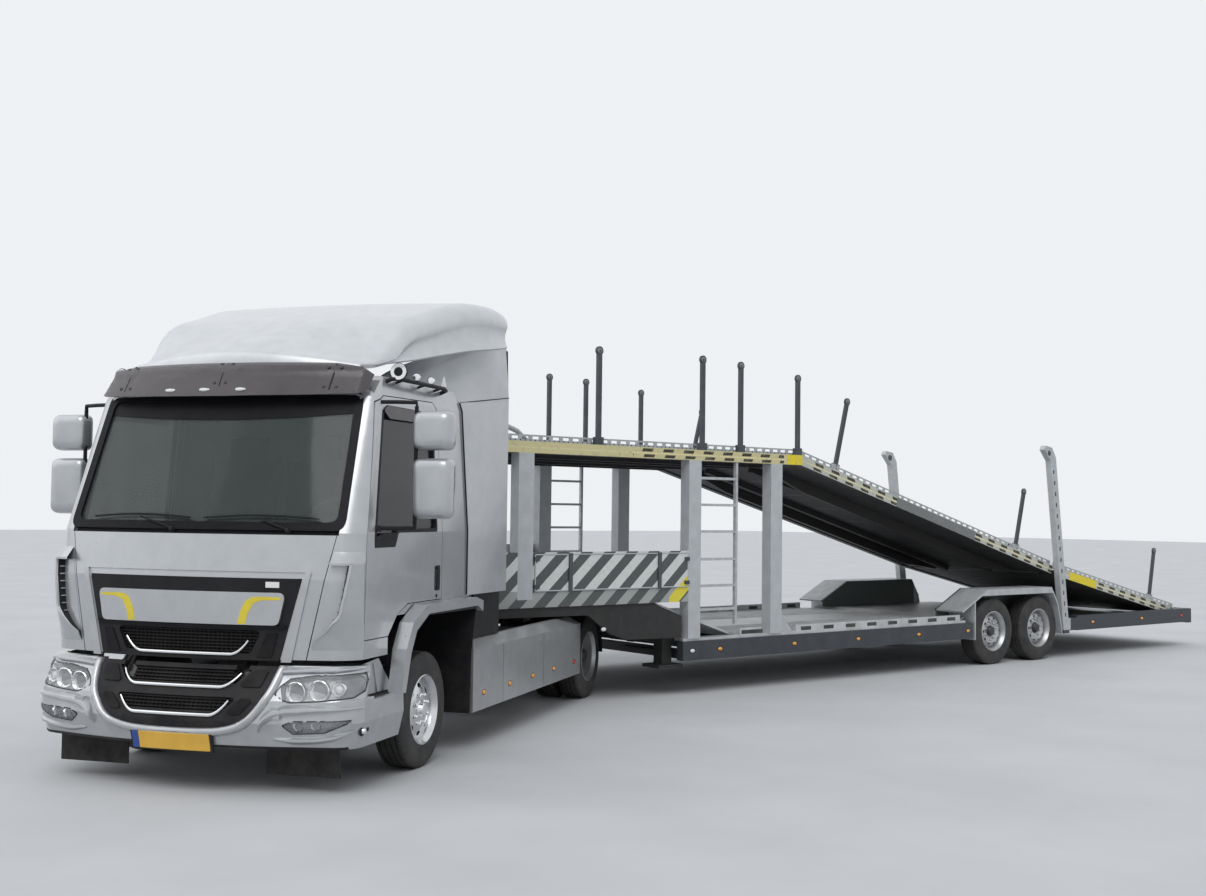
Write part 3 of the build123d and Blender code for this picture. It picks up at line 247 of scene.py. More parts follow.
SILVER = (0.455, 0.470, 0.485)
SILVER_LOOK = dict(metal=0.55, vary=0.05, coat=0.7, bump=0.004, speck=0.12)
LENS_LOOK = dict(vary=0.1, bump=0.01, coat=0.5, dirt=0.1)

# finishes by their short names: name of the material, colour, roughness and what else sets it apart
FINISHES = {
    "silver": ("cab_silver", SILVER, 0.30, SILVER_LOOK),
    "spoiler": ("spoiler_silver", (0.63, 0.65, 0.67), 0.34,
                dict(metal=0.35, vary=0.06, coat=0.45, bump=0.006, dirt=0.0)),
    "skirt": ("skirt_silver", (0.41, 0.42, 0.43), 0.36,
              dict(metal=0.4, vary=0.06, coat=0.35, bump=0.006, dirt=0.3)),
    "black": ("black_plastic", (0.015, 0.015, 0.017), 0.48, dict(vary=0.2, bump=0.04)),
    "gloss_black": ("gloss_black", (0.010, 0.010, 0.012), 0.34, dict(vary=0.2, bump=0.0)),
    # near black of the sheets under the decks: painted shade
    "under_dark": ("under_dark", (0.022, 0.022, 0.023), 0.6,
                   dict(vary=0.3, bump=0.03, dirt=0.3, home=TRAILER)),
    "roller": ("roller_grey", (0.22, 0.23, 0.24), 0.4, dict(metal=0.3, vary=0.15, bump=0.01, home=TRAILER)),
    "lamp_tray": ("lamp_tray", (0.16, 0.165, 0.17), 0.22, dict(metal=0.8, vary=0.3, scale=30.0, bump=0.02)),
    "mesh": ("grille_mesh", (0.012, 0.012, 0.013), 0.7, dict(vary=0.2, bump=0.06)),
    "chassis": ("chassis_black", (0.03, 0.031, 0.033), 0.45, dict(vary=0.3, bump=0.03, dirt=0.7)),
    "iron": ("cast_iron", (0.09, 0.088, 0.085), 0.62, dict(metal=0.4, vary=0.3, bump=0.08, dirt=0.6)),
    "rubber": ("rubber_sheet", (0.018, 0.018, 0.018), 0.6, dict(vary=0.25, bump=0.05, dirt=0.35)),
    "tyre": ("tyre_rubber", (0.024, 0.024, 0.025), 0.68, dict(vary=0.3, grain=220.0, bump=0.06, dirt=0.4)),
    "chrome": ("chrome", (0.82, 0.83, 0.84), 0.10, dict(metal=1.0, vary=0.04, bump=0.003, dirt=0.05)),
    "polished": ("polished_steel", (0.68, 0.69, 0.70), 0.20,
                 dict(metal=1.0, vary=0.06, bump=0.008, dirt=0.12)),
    "wheel_silver": ("wheel_silver", (0.46, 0.47, 0.48), 0.36,
                     dict(metal=0.7, vary=0.1, bump=0.02, dirt=0.4)),
    "galvanised": ("galvanised", (0.50, 0.52, 0.53), 0.48,
                   dict(metal=0.35, vary=0.16, scale=22.0, grain=90.0, bump=0.03, dirt=0.15, home=TRAILER)),
    "post_grey": ("post_grey", (0.52, 0.54, 0.56), 0.45,
                  dict(metal=0.15, vary=0.08, bump=0.02, dirt=0.12, home=TRAILER)),
    "anthracite": ("anthracite", (0.045, 0.052, 0.062), 0.42,
                   dict(metal=0.2, vary=0.2, bump=0.02, dirt=0.35, home=TRAILER)),
    "dark_post": ("dark_post", (0.07, 0.078, 0.088), 0.42,
                  dict(metal=0.3, vary=0.2, bump=0.02, dirt=0.0, home=TRAILER)),
    # near black of the gooseneck and landing legs: their dark paint, deepened as painted shade under the
    # upper deck
    "dark_steel_and_shade": ("dark_steel_and_shade", (0.020, 0.020, 0.020), 0.55,
                    dict(metal=0.1, vary=0.3, bump=0.04, dirt=0.12, home=TRAILER)),
    "floor": ("tread_plate", (0.60, 0.615, 0.62), 0.4,
              dict(metal=0.4, vary=0.16, scale=7.0, grain=70.0, bump=0.05, dirt=0.3, home=TRAILER)),
    "fabric": ("seat_fabric", (0.05, 0.052, 0.058), 0.9,
               dict(vary=0.3, scale=40.0, grain=700.0, bump=0.1, dirt=0.0)),
    "dash": ("dash_grey", (0.075, 0.078, 0.082), 0.6, dict(vary=0.15, grain=600.0, bump=0.07, dirt=0.0)),
    "amber": ("amber_lens", (0.87, 0.38, 0.05), 0.18, LENS_LOOK),
    "red": ("red_lens", (0.55, 0.02, 0.015), 0.18, LENS_LOOK),
    "white_lens": ("white_lens", (0.85, 0.86, 0.86), 0.15, dict(vary=0.05, bump=0.01, coat=0.5, dirt=0.05)),
    "yellow": ("yellow_paint", (0.72, 0.58, 0.05), 0.35, dict(vary=0.08, bump=0.01, dirt=0.1)),
    "plate_yellow": ("plate_yellow", (0.80, 0.47, 0.06), 0.30, dict(vary=0.06, bump=0.01, dirt=0.15)),
    "plate_blue": ("plate_blue", (0.02, 0.07, 0.32), 0.30, dict(vary=0.06, bump=0.01, dirt=0.1)),
    "plate_white": ("plate_white", (0.8, 0.8, 0.78), 0.30,
                    dict(vary=0.06, bump=0.01, dirt=0.2, home=TRAILER)),
    "mirror_glass": ("mirror_glass", (0.75, 0.78, 0.8), 0.03, dict(metal=1.0, vary=0.02, bump=0.0, dirt=0.0)),
}
# black finishes mirror less of the sky than others
BLACK_SPECULAR = {"black": 0.18, "gloss_black": 0.10, "mesh": 0.18, "rubber": 0.18}
# glass: name of the material, colour, roughness, how opaque
GLASSES = {
    "glass": ("windscreen_glass", (0.09, 0.11, 0.105), 0.02, 0.34),
    "door_glass": ("door_glass", (0.012, 0.015, 0.015), 0.12, 0.74),
    "smoked": ("smoked_visor", (0.085, 0.075, 0.078), 0.2, 0.86),
    "lens": ("lamp_lens", (0.75, 0.78, 0.8), 0.03, 0.14),
}
# every finish made so far, by its short name
M = {}


def make_materials():
    """Every finish of one colour."""
    for key, (name, color, rough, look) in FINISHES.items():
        M[key] = surface(name, color, rough, **look)
    for key, level in BLACK_SPECULAR.items():
        parts_of(M[key])[1].inputs["Specular IOR Level"].default_value = level
    for key, settings in GLASSES.items():
        M[key] = clear_glass(*settings)


# Mesh tools


class Piece:
    """A mesh put together from simple forms in a vehicle's own frame, in one or more finishes."""

    def __init__(self, name, home, body, slot=None):
        self.name = name
        self.home = home
        self.body = body
        self.slot = slot
        self.bm = bmesh.new()
        self.finishes = []
        self.index = 0

    def use(self, finish):
        """Faces made from here on have this finish."""
        if finish not in self.finishes:
            self.finishes.append(finish)
        self.index = self.finishes.index(finish)
        return self

    def face(self, verts):
        try:
            made = self.bm.faces.new(verts)
        except ValueError:
            return None
        made.material_index = self.index
        return made

    def verts(self, points):
        return [self.bm.verts.new(p) for p in points]

    def loop_rows(self, rows, closed=True):
        """Skin rows of vertices of one length into bands of quads."""
        for low, high in zip(rows, rows[1:]):
            count = len(low)
            for i in range(count if closed else count - 1):
                j = (i + 1) % count
                self.face((low[i], low[j], high[j], high[i]))

    def shell(self, rows):
        """Skin of closed rows with a face at either end."""
        self.loop_rows(rows)
        self.face(rows[0])
        self.face(rows[-1])

    def box(self, xs, ys, zs):
        x0, x1 = sorted(xs)
        y0, y1 = sorted(ys)
        z0, z1 = sorted(zs)
        self.prism([(x0, y0), (x1, y0), (x1, y1), (x0, y1)], "XY", z0, z1)

    def pair(self, xs, ys, zs):
        """The same box on the left and on the right."""
        self.box(xs, ys, zs)
        self.box(xs, (-ys[0], -ys[1]), zs)

    def prism(self, outline, plane, start, end):
        """Extrude an outline: XY along Z, XZ along Y or YZ along X."""
        order = {"XY": (0, 1, 2), "XZ": (0, 2, 1), "YZ": (1, 2, 0)}[plane]
        rings = []
        for level in (start, end):
            ring = []
            for a, b in outline:
                point = [0.0, 0.0, 0.0]
                point[order[0]], point[order[1]], point[order[2]] = a, b, level
                ring.append(self.bm.verts.new(point))
            rings.append(ring)
        self.loop_rows(rings)
        self.face(rings[0])
        self.face(rings[1])

    def lathe(self, profile, centre, axis="Y", steps=48):
        """Turn a profile of (radius, place along the axis) about an axis through the centre."""
        centre = Vector(centre)
        along = {"X": Vector((1, 0, 0)), "Y": Vector((0, 1, 0)), "Z": Vector((0, 0, 1))}.get(axis)
        along = Vector(axis).normalized() if along is None else along
        first = along.orthogonal().normalized()
        second = along.cross(first)
        rows = []
        for radius, place in profile:
            if radius < 1e-5:
                rows.append([self.bm.verts.new(centre + along * place)])
                continue
            turns = [2 * pi * i / steps for i in range(steps)]
            rows.append(self.verts(
                [centre + along * place + (first * cos(t) + second * sin(t)) * radius for t in turns]
            ))
        for low, high in zip(rows, rows[1:]):
            if len(low) == 1 and len(high) == 1:
                continue
            for i in range(steps):
                j = (i + 1) % steps
                if len(low) == 1:
                    self.face((low[0], high[j], high[i]))
                elif len(high) == 1:
                    self.face((low[i], low[j], high[0]))
                else:
                    self.face((low[i], low[j], high[j], high[i]))

    def tube(self, points, radius, steps=12):
        """Round bar along points, mitred at its bends."""
        points = [Vector(p) for p in points]
        count = len(points)
        tangents = []
        for i, here in enumerate(points):
            before = points[i - 1] if i else here
            after = points[i + 1] if i < count - 1 else here
            tangents.append((after - before).normalized())
        normal = tangents[0].orthogonal().normalized()
        rows = []
        for i, here in enumerate(points):
            tangent = tangents[i]
            normal = (normal - tangent * normal.dot(tangent)).normalized()
            other = tangent.cross(normal)
            rows.append(self.verts([
                here + (normal * cos(2 * pi * k / steps) + other * sin(2 * pi * k / steps)) * radius
                for k in range(steps)
            ]))
        self.shell(rows)

    def rod(self, start, end, radius, steps=16):
        self.tube((start, end), radius, steps)

    def strip(self, rows):
        """Open surface through rows of points."""
        self.loop_rows([self.verts(row) for row in rows], closed=False)

    def panel(self, outline, project, depth, step=0.06, holes=()):
        """Curved plate: an outline with holes in two coordinates, cut by a grid and laid on a surface.

        project(a, b, inset) gives the point of the surface, inset along its normal.
        """
        flat = bmesh.new()
        for loop in (outline, *holes):
            ring = [flat.verts.new((a, b, 0)) for a, b in loop]
            for i, corner in enumerate(ring):
                flat.edges.new((corner, ring[(i + 1) % len(ring)]))
        bmesh.ops.triangle_fill(flat, use_beauty=True, edges=flat.edges[:])
        spans = [[p[k] for p in outline] for k in (0, 1)]
        for k, normal in ((0, (1, 0, 0)), (1, (0, 1, 0))):
            low, high = min(spans[k]), max(spans[k])
            count = max(1, ceil((high - low) / step))
            for i in range(1, count):
                place = [0.0, 0.0, 0.0]
                place[k] = low + (high - low) * i / count
                geometry = flat.verts[:] + flat.edges[:] + flat.faces[:]
                bmesh.ops.bisect_plane(flat, geom=geometry, dist=1e-6, plane_co=place, plane_no=normal)
        bmesh.ops.dissolve_limit(
            flat, angle_limit=0.01, verts=[], edges=[e for e in flat.edges if not on_grid(e, spans, step)]
        )
        outer = {v: self.bm.verts.new(project(v.co.x, v.co.y, 0.0)) for v in flat.verts}
        inner = {v: self.bm.verts.new(project(v.co.x, v.co.y, depth)) for v in flat.verts}
        for f in flat.faces:
            self.face([outer[v] for v in f.verts])
            self.face([inner[v] for v in reversed(f.verts)])
        for e in flat.edges:
            if e.is_boundary:
                a, b = e.verts
                self.face((outer[a], outer[b], inner[b], inner[a]))
        flat.free()

    def mirror(self):
        """Add the same forms on the other side of the vehicle's middle."""
        geometry = self.bm.verts[:] + self.bm.edges[:] + self.bm.faces[:]
        copy = bmesh.ops.duplicate(self.bm, geom=geometry)["geom"]
        for v in copy:
            if isinstance(v, bmesh.types.BMVert):
                v.co.y = -v.co.y

    def turned(self, matrix, first=0):
        """Move the vertices made since a count by a matrix."""
        self.bm.verts.ensure_lookup_table()
        for v in self.bm.verts[first:]:
            v.co = matrix @ v.co

    def done(self, bevel=0.0, angle=35, segments=2, replaces=()):
        """Close the mesh, place it in the lorry's frame and make it ride on its body."""
        bmesh.ops.recalc_face_normals(self.bm, faces=self.bm.faces[:])
        mesh = bpy.data.meshes.new(self.name)
        self.bm.to_mesh(mesh)
        self.bm.free()
        mesh.transform(self.home)
        for finish in self.finishes:
            mesh.materials.append(M[finish])
        mesh.polygons.foreach_set("use_smooth", [True] * len(mesh.polygons))
        mesh.set_sharp_from_angle(angle=radians(angle))
        made = bpy.data.objects.new(self.name, mesh)
        bpy.context.scene.collection.objects.link(made)
        if bevel:
            edge = made.modifiers.new("edge", "BEVEL")
            edge.width = bevel
            edge.segments = segments
            edge.limit_method = "ANGLE"
            edge.angle_limit = radians(angle)
            edge.harden_normals = True
            edge.use_clamp_overlap = True
        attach(made, self.body)
        if replaces:
            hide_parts(*replaces)
        return made


def on_grid(edge, spans, step):
    """Whether a flat panel's edge lies on one of the grid's lines or on its rim."""
    if edge.is_boundary:
        return True
    a, b = (v.co for v in edge.verts)
    for k in (0, 1):
        low, high = min(spans[k]), max(spans[k])
        pitch = (high - low) / max(1, ceil((high - low) / step))
        if abs(a[k] - b[k]) < 1e-5 and abs((a[k] - low) / pitch - round((a[k] - low) / pitch)) < 1e-3:
            return True
    return False


def rounded(points, radii, steps=6):
    """An outline with its corners rounded, each by its own radius or all by one."""
    count = len(points)
    if isinstance(radii, (int, float)):
        radii = [radii] * count
    result = []
    for i in range(count):
        before, here, after = (Vector(points[(i + k) % count]) for k in (-1, 0, 1))
        to_before = (before - here).normalized()
        to_after = (after - here).normalized()
        turn = to_before.angle(to_after)
        if radii[i] <= 0 or turn > 3.1:
            result.append(tuple(here))
            continue
        reach = min(radii[i] / tan(turn / 2), (before - here).length * 0.48, (after - here).length * 0.48)
        start = here + to_before * reach
        end = here + to_after * reach
        for k in range(steps + 1):
            t = k / steps
            result.append(tuple(start * (1 - t) ** 2 + here * 2 * t * (1 - t) + end * t * t))
    return result


def mirrored(half):
    """A whole symmetric outline from its left half, given from top to bottom."""
    return [(y, z) for y, z in half] + [(-y, z) for y, z in reversed(half)]


def finish_node(name, finish):
    """Give a node of the model a finish in place of its plain one."""
    mesh = frame["nodes"][name].data
    mesh.materials.clear()
    mesh.materials.append(M[finish])
    mesh.polygons.foreach_set("use_smooth", [True] * len(mesh.polygons))
    mesh.set_sharp_from_angle(angle=radians(30))


# Surface of the cab and of the bumper

# plan sections, low to high: height, end of the flat side, half width,
# front corner along and across, middle of the front
CAB_ROWS = (
    (0.80, 0.905, 1.065, 1.025, 0.935, 1.150),
    (1.28, 0.905, 1.065, 1.025, 0.945, 1.145),
    (1.56, 0.885, 1.065, 0.990, 0.965, 1.095),
    (2.42, 0.600, 1.005, 0.660, 0.930, 0.775),
    (2.56, 0.480, 0.960, 0.545, 0.885, 0.650),
)
BUMPER_ROWS = (
    (0.285, 0.960, 1.090, 1.100, 0.985, 1.250),
    (0.440, 0.985, 1.125, 1.135, 1.010, 1.300),
    (0.570, 0.975, 1.118, 1.125, 1.005, 1.265),
    (0.700, 0.930, 1.095, 1.065, 0.980, 1.190),
    (0.766, 0.905, 1.085, 1.020, 0.955, 1.140),
)


def arc_points(first, middle, last, steps):
    """Points along the arc through three points."""
    (ax, ay), (bx, by), (cx, cy) = first, middle, last
    d = 2 * (ax * (by - cy) + bx * (cy - ay) + cx * (ay - by))
    a2, b2, c2 = ax * ax + ay * ay, bx * bx + by * by, cx * cx + cy * cy
    ux = (a2 * (by - cy) + b2 * (cy - ay) + c2 * (ay - by)) / d
    uy = (a2 * (cx - bx) + b2 * (ax - cx) + c2 * (bx - ax)) / d
    start = atan2(ay - uy, ax - ux)
    end = atan2(cy - uy, cx - ux)
    while end - start > pi:
        end -= 2 * pi
    while end - start < -pi:
        end += 2 * pi
    radius = hypot(ax - ux, ay - uy)
    turns = [start + (end - start) * i / steps for i in range(steps + 1)]
    return [(ux + radius * cos(t), uy + radius * sin(t)) for t in turns]


def read_at(place, places_in, values):
    """Value at a place between rising places, as a plain number."""
    return float(np.interp(place, places_in, values))


class Skin:
    """Outside of a cab or bumper, read from its plan sections."""

    def __init__(self, rows, back):
        self.rows = np.array(rows)
        self.back = back
        self.cache = {}

    def plan(self, z):
        """Half of the plan curve at a height, from the middle of the front to the back."""
        key = round(z, 4)
        if key not in self.cache:
            side_end, half, corner_x, corner_y, middle = (
                read_at(z, self.rows[:, 0], self.rows[:, k]) for k in range(1, 6)
            )
            bend = ((side_end + corner_x * 1.6) / 2.6, (half * 1.35 + corner_y) / 2.35)
            # the front bows as one arc from corner to corner, so half of it is used
            bow = arc_points((corner_x, -corner_y), (middle, 0), (corner_x, corner_y), 48)[24:]
            corner = arc_points((corner_x, corner_y), bend, (side_end, half), 12)[1:]
            self.cache[key] = np.array(bow + corner + [(self.back, half)])
        return self.cache[key]

    def front(self, y, z, inset=0.0):
        """Point of the front at a place across and up."""
        curve = self.plan(z)
        edge = curve[-2, 1]
        reach = min(abs(y), edge - 1e-4)
        x = read_at(reach, curve[:, 1], curve[:, 0])
        if not inset:
            return Vector((x, y, z))
        step = 0.01
        above = self.plan(z + step)
        slope_z = (read_at(reach, above[:, 1], above[:, 0]) - x) / step
        slope_y = (read_at(min(reach + step, edge), curve[:, 1], curve[:, 0]) - x) / step
        normal = Vector((1, -slope_y if y > 0 else slope_y, -slope_z)).normalized()
        return Vector((x, y, z)) - normal * inset

    def side(self, x, z, inset=0.0, sign=1):
        """Point of the side at a place along and up."""
        curve = self.plan(z)
        y = read_at(-x, -curve[:, 0], curve[:, 1])
        if not inset:
            return Vector((x, sign * y, z))
        step = 0.01
        above = self.plan(z + step)
        slope_z = (read_at(-x, -above[:, 0], above[:, 1]) - y) / step
        slope_x = (read_at(-x - step, -curve[:, 0], curve[:, 1]) - y) / -step
        normal = Vector((slope_x if abs(slope_x) < 3 else 3.0, 1, -slope_z)).normalized()
        point = Vector((x, y, z)) - normal * inset
        point.y *= sign
        return point

    def lengths(self, curve):
        """Length along a plan curve to each of its points."""
        steps = np.hypot(np.diff(curve[:, 0]), np.diff(curve[:, 1]))
        return np.concatenate(([0.0], np.cumsum(steps)))

    def around(self, start, end, t, z, inset):
        """Point between two places of the plan curve, given as lengths from the middle of the front."""
        curve = self.plan(z)
        lengths = self.lengths(curve)
        run = start + (end - start) * t
        here, ahead = (
            Vector((read_at(place, lengths, curve[:, 0]), read_at(place, lengths, curve[:, 1]), z))
            for place in (run, run + 0.004)
        )
        tangent = (ahead - here).normalized()
        return here - Vector((tangent.y, -tangent.x, 0)) * inset

    def length_at(self, z, x=None, y=None):
        """Length along the plan curve to where it passes a place along or across."""
        curve = self.plan(z)
        if y is not None:
            return read_at(y, curve[:, 1], self.lengths(curve))
        return read_at(-x, -curve[:, 0], self.lengths(curve))


CAB = Skin(CAB_ROWS, -0.745)
BUMPER = Skin(BUMPER_ROWS, 0.43)


# Wheels

TYRE_R = 0.384
RIM_R = 0.225
TYRE_HALF = 0.1075
REAR_AXLE = -3.706
FRONT_TRACK, TRAILER_TRACK = 0.975, 1.107
TWIN_OUTER, TWIN_INNER = 1.005, 0.760
AXLES = (("front", -6.440), ("back", -7.340))

# tyre section from the rim to the shoulder: radius past the rim's or short of the tyre's, place inwards
TYRE_WALL = ((0.001, 0.014), (0.006, 0.004), (0.030, 0.002), (0.075, 0.0), (0.110, 0.004))
TYRE_SHOULDER = ((0.022, 0.012), (0.008, 0.020))
GROOVES = (-0.060, -0.020, 0.020, 0.060)
# each groove: shift along the axle and depth of its four corners
GROOVE = ((-0.005, 0.001), (-0.0035, 0.013), (0.0035, 0.013), (0.005, 0.001))
SIPES = 72

# rolled rims: radius past the rim's, place outwards from the wheel's middle
FRONT_BARREL = (
    (-0.004, -0.1015), (0.001, -0.0955), (-0.008, -0.0875), (-0.018, -0.03), (-0.018, 0.0575),
    (-0.006, 0.0855), (0.003, 0.0955), (0.006, 0.1045), (-0.002, 0.1065), (-0.008, 0.0975),
    (-0.022, 0.0835), (-0.030, 0.0675), (-0.030, -0.0875), (-0.012, -0.1015),
)
REAR_BARREL = (
    (-0.003, -0.1035), (0.004, -0.0955), (-0.012, -0.0835), (-0.022, -0.02), (-0.022, 0.0625),
    (-0.006, 0.0875), (0.004, 0.0955), (0.005, 0.1045), (-0.002, 0.1065), (-0.012, 0.0955),
    (-0.030, 0.0775), (-0.034, -0.0975),
)
TRAILER_BARREL = (
    (-0.004, -0.1015), (0.003, -0.0935), (-0.016, -0.0775), (-0.020, 0.0575), (-0.004, 0.0875),
    (0.005, 0.1035), (-0.003, 0.1065), (-0.010, 0.0955), (-0.026, 0.0775), (-0.034, 0.0475),
    (-0.032, -0.0875),
)
# hubs: radius, place outwards
FRONT_HUB = (
    (0.0, 0.030), (0.034, 0.028), (0.042, 0.022), (0.046, 0.010), (0.050, -0.002), (0.062, -0.006),
    (0.062, -0.05),
)
REAR_HUB = ((0.0, 0.074), (0.050, 0.072), (0.058, 0.060), (0.062, 0.000), (0.072, -0.012), (0.080, -0.050))
TRAILER_HUB = ((0.0, 0.012), (0.040, 0.010), (0.048, 0.004), (0.056, -0.012), (0.066, -0.045))


def wheel_tyre(name, body, home, centres, replaced):
    """Tyres with crowned tread, ribs cut by sipes and rounded shoulders, round each wheel centre."""
    piece = Piece(name, home, body, "tyre").use("tyre")
    half = TYRE_HALF
    profile = [(RIM_R + r, -half + y) for r, y in TYRE_WALL]
    profile += [(TYRE_R - r, -half + y) for r, y in TYRE_SHOULDER]
    crown = [(TYRE_R - 0.003, -half + 0.030)]
    for place in GROOVES:
        crown += [(TYRE_R - depth, place + shift) for shift, depth in GROOVE]
    crown.append((TYRE_R - 0.003, half - 0.030))
    profile = profile + crown + [(r, -y) for r, y in reversed(profile)]
    for centre in centres:
        piece.lathe(profile, centre, "Y", 96)
        # sipes across the outer ribs
        for i in range(SIPES):
            spin = Matrix.Translation(centre) @ Matrix.Rotation(2 * pi * i / SIPES, 4, "Y")
            for side in (-1, 1):
                first = len(piece.bm.verts)
                across = (side * 0.068, side * (half - 0.022))
                piece.box((-0.002, 0.002), across, (TYRE_R - 0.014, TYRE_R - 0.0005))
                piece.turned(spin, first)
    return piece.done(replaces=(replaced,), angle=40)


def ring_points(radius, count):
    return [(radius * cos(2 * pi * k / count), radius * sin(2 * pi * k / count)) for k in range(count)]


def oval_holes(count, radius, long, wide, steps=14):
    """Outlines of hand holes round a wheel disc, as points of the disc's plane."""
    holes = []
    for i in range(count):
        turn = 2 * pi * i / count
        ring = []
        for k in range(steps):
            t = 2 * pi * k / steps
            out, across = radius + cos(t) * wide, sin(t) * long
            ring.append((cos(turn) * out - sin(turn) * across, sin(turn) * out + cos(turn) * across))
        holes.append(ring)
    return holes


def disc_face(piece, centre, outward, depth_of, outer, inner, holes, thick=0.006):
    """Pressed wheel disc with holes: depth_of gives how far out it stands at each radius."""

    def project(a, b, inset):
        y = outward * (depth_of(hypot(a, b)) - inset)
        return Vector(centre) + Vector((a, y, b))

    piece.panel(ring_points(outer, 64), project, thick, 0.022, [ring_points(inner, 32), *holes])


def nuts(piece, centre, outward, count, radius, place, size=0.013, height=0.022):
    """Ring of wheel nuts with rounded caps."""
    profile = [(0.0, height), (size * 0.55, height - 0.002), (size * 0.8, height * 0.7)]
    profile += [(size, height * 0.55), (size, 0.002), (size * 1.25, 0.0)]
    for i in range(count):
        turn = 2 * pi * (i + 0.5) / count
        at = Vector(centre) + Vector((radius * cos(turn), outward * place, radius * sin(turn)))
        piece.lathe([(r, outward * y) for r, y in profile], at, "Y", 12)


def barrel(piece, centre, outward, rows):
    """Rolled rim of a wheel."""
    piece.lathe([(RIM_R + r, outward * y) for r, y in (*rows, rows[0])], centre, "Y", 72)


def hub(piece, centre, outward, rows, place, steps):
    """Hub turned by its rows, at a place out from the wheel's middle."""
    piece.lathe([(r, outward * (place + y)) for r, y in rows], centre, "Y", steps)


def front_wheel(side_name, sign):
    """Polished front wheel: rolled rim, domed disc with eight hand holes, ring of nuts and hub."""
    centre = (0.0, sign * FRONT_TRACK, TYRE_R)
    piece = Piece(f"front_wheel_trim_{side_name}", TRACTOR, f"front_wheel_{side_name}", "wheel_steel")
    piece.use("polished")
    half = TYRE_HALF
    barrel(piece, centre, sign, FRONT_BARREL)

    def depth(radius):
        return half - 0.058 + 0.030 * sin(clamp((RIM_R - 0.028 - radius) / 0.12) * pi / 2)

    disc_face(piece, centre, sign, depth, RIM_R - 0.028, 0.060, oval_holes(8, 0.158, 0.026, 0.017))
    piece.use("wheel_silver")
    disc_face(piece, centre, sign, lambda radius: half - 0.066, RIM_R - 0.030, 0.03, [], 0.004)
    piece.use("chrome")
    nuts(piece, centre, sign, 8, 0.098, half - 0.028)
    hub(piece, centre, sign, FRONT_HUB, half - 0.026, 36)
    return piece.done(replaces=(f"front_rim_{side_name}",), angle=32)


def rear_wheels(side_name, sign):
    """Twin rear wheels: dished silver discs, with the hub standing out from the outer one."""
    piece = Piece(f"rear_wheel_steel_{side_name}", TRACTOR, f"rear_wheels_{side_name}", "wheel_steel")
    piece.use("wheel_silver")

    def depth(radius):
        return -0.010 - 0.035 * (1 - cos(clamp((RIM_R - 0.03 - radius) / 0.11) * pi)) / 2

    for y, way in ((TWIN_OUTER, 1), (TWIN_INNER, -1)):
        centre = (REAR_AXLE, sign * y, TYRE_R)
        barrel(piece, centre, sign * way, REAR_BARREL)
        disc_face(piece, centre, sign * way, depth, RIM_R - 0.032, 0.072, oval_holes(8, 0.160, 0.024, 0.017))
    centre = (REAR_AXLE, sign * TWIN_OUTER, TYRE_R)
    nuts(piece, centre, sign, 8, 0.103, -0.045)
    piece.use("chassis")
    hub(piece, centre, sign, REAR_HUB, 0.0, 36)
    return piece.done(replaces=(f"rear_rims_{side_name}",), angle=32)


def trailer_wheel(axle_name, axle_x, side_name, sign):
    """Trailer wheel: silver steel disc with a raised ring, slots, nuts and a dark hub cap."""
    centre = (axle_x, sign * TRAILER_TRACK, TYRE_R)
    place = f"{axle_name}_{side_name}"
    piece = Piece(f"trailer_wheel_steel_{place}", TRAILER, f"trailer_wheel_{place}", "wheel_steel")
    piece.use("wheel_silver")
    half = TYRE_HALF
    barrel(piece, centre, sign, TRAILER_BARREL)

    def depth(radius):
        outer = clamp((RIM_R - 0.03 - radius) / 0.055)
        inner = clamp((0.130 - radius) / 0.03)
        return half - 0.075 + 0.040 * sin(outer * pi / 2) - 0.022 * inner

    disc_face(piece, centre, sign, depth, RIM_R - 0.030, 0.065, oval_holes(10, 0.148, 0.018, 0.011))
    nuts(piece, centre, sign, 10, 0.103, half - 0.060)
    piece.use("chassis")
    disc_face(piece, centre, sign, lambda radius: half - 0.092, RIM_R - 0.034, 0.03, [], 0.004)
    hub(piece, centre, sign, TRAILER_HUB, half - 0.030, 32)
    return piece.done(replaces=(f"trailer_rim_{place}",), angle=32)


def make_wheels():
    for side, sign in SIDES:
        wheel_tyre(
            f"front_tyre_tread_{side}", f"front_wheel_{side}", TRACTOR,
            [(0, sign * FRONT_TRACK, TYRE_R)], f"front_tyre_{side}",
        )
        wheel_tyre(
            f"rear_tyre_treads_{side}", f"rear_wheels_{side}", TRACTOR,
            [(REAR_AXLE, sign * y, TYRE_R) for y in (TWIN_INNER, TWIN_OUTER)], f"rear_tyres_{side}",
        )
        front_wheel(side, sign)
        rear_wheels(side, sign)
        for axle, axle_x in AXLES:
            wheel_tyre(
                f"trailer_tyre_tread_{axle}_{side}", f"trailer_wheel_{axle}_{side}", TRAILER,
                [(axle_x, sign * TRAILER_TRACK, TYRE_R)], f"trailer_tyre_{axle}_{side}",
            )
            trailer_wheel(axle, axle_x, side, sign)


# Trailer

HALF = 1.25
UPPER_LOW, UPPER_HIGH = 2.21, 2.31
RAMP_HINGE = (-3.215, 2.262)
RAMP_SLOPE, TAIL_SLOPE = radians(14.9), radians(12)
RAMP_LENGTH = 4.70
RAMP_LOW, RAMP_HIGH = -0.04, 0.06


def down_slope(hinge, slope):
    """Frame of a ramp: X back along it from its hinge, Y to its right, Z square to its floor."""
    back = Vector((-cos(slope), 0, -sin(slope)))
    up = Vector((-sin(slope), 0, cos(slope)))
    turn = Matrix((back, up.cross(back), up)).transposed()
    return TRAILER @ Matrix.Translation((hinge[0], 0, hinge[1])) @ turn.to_4x4()


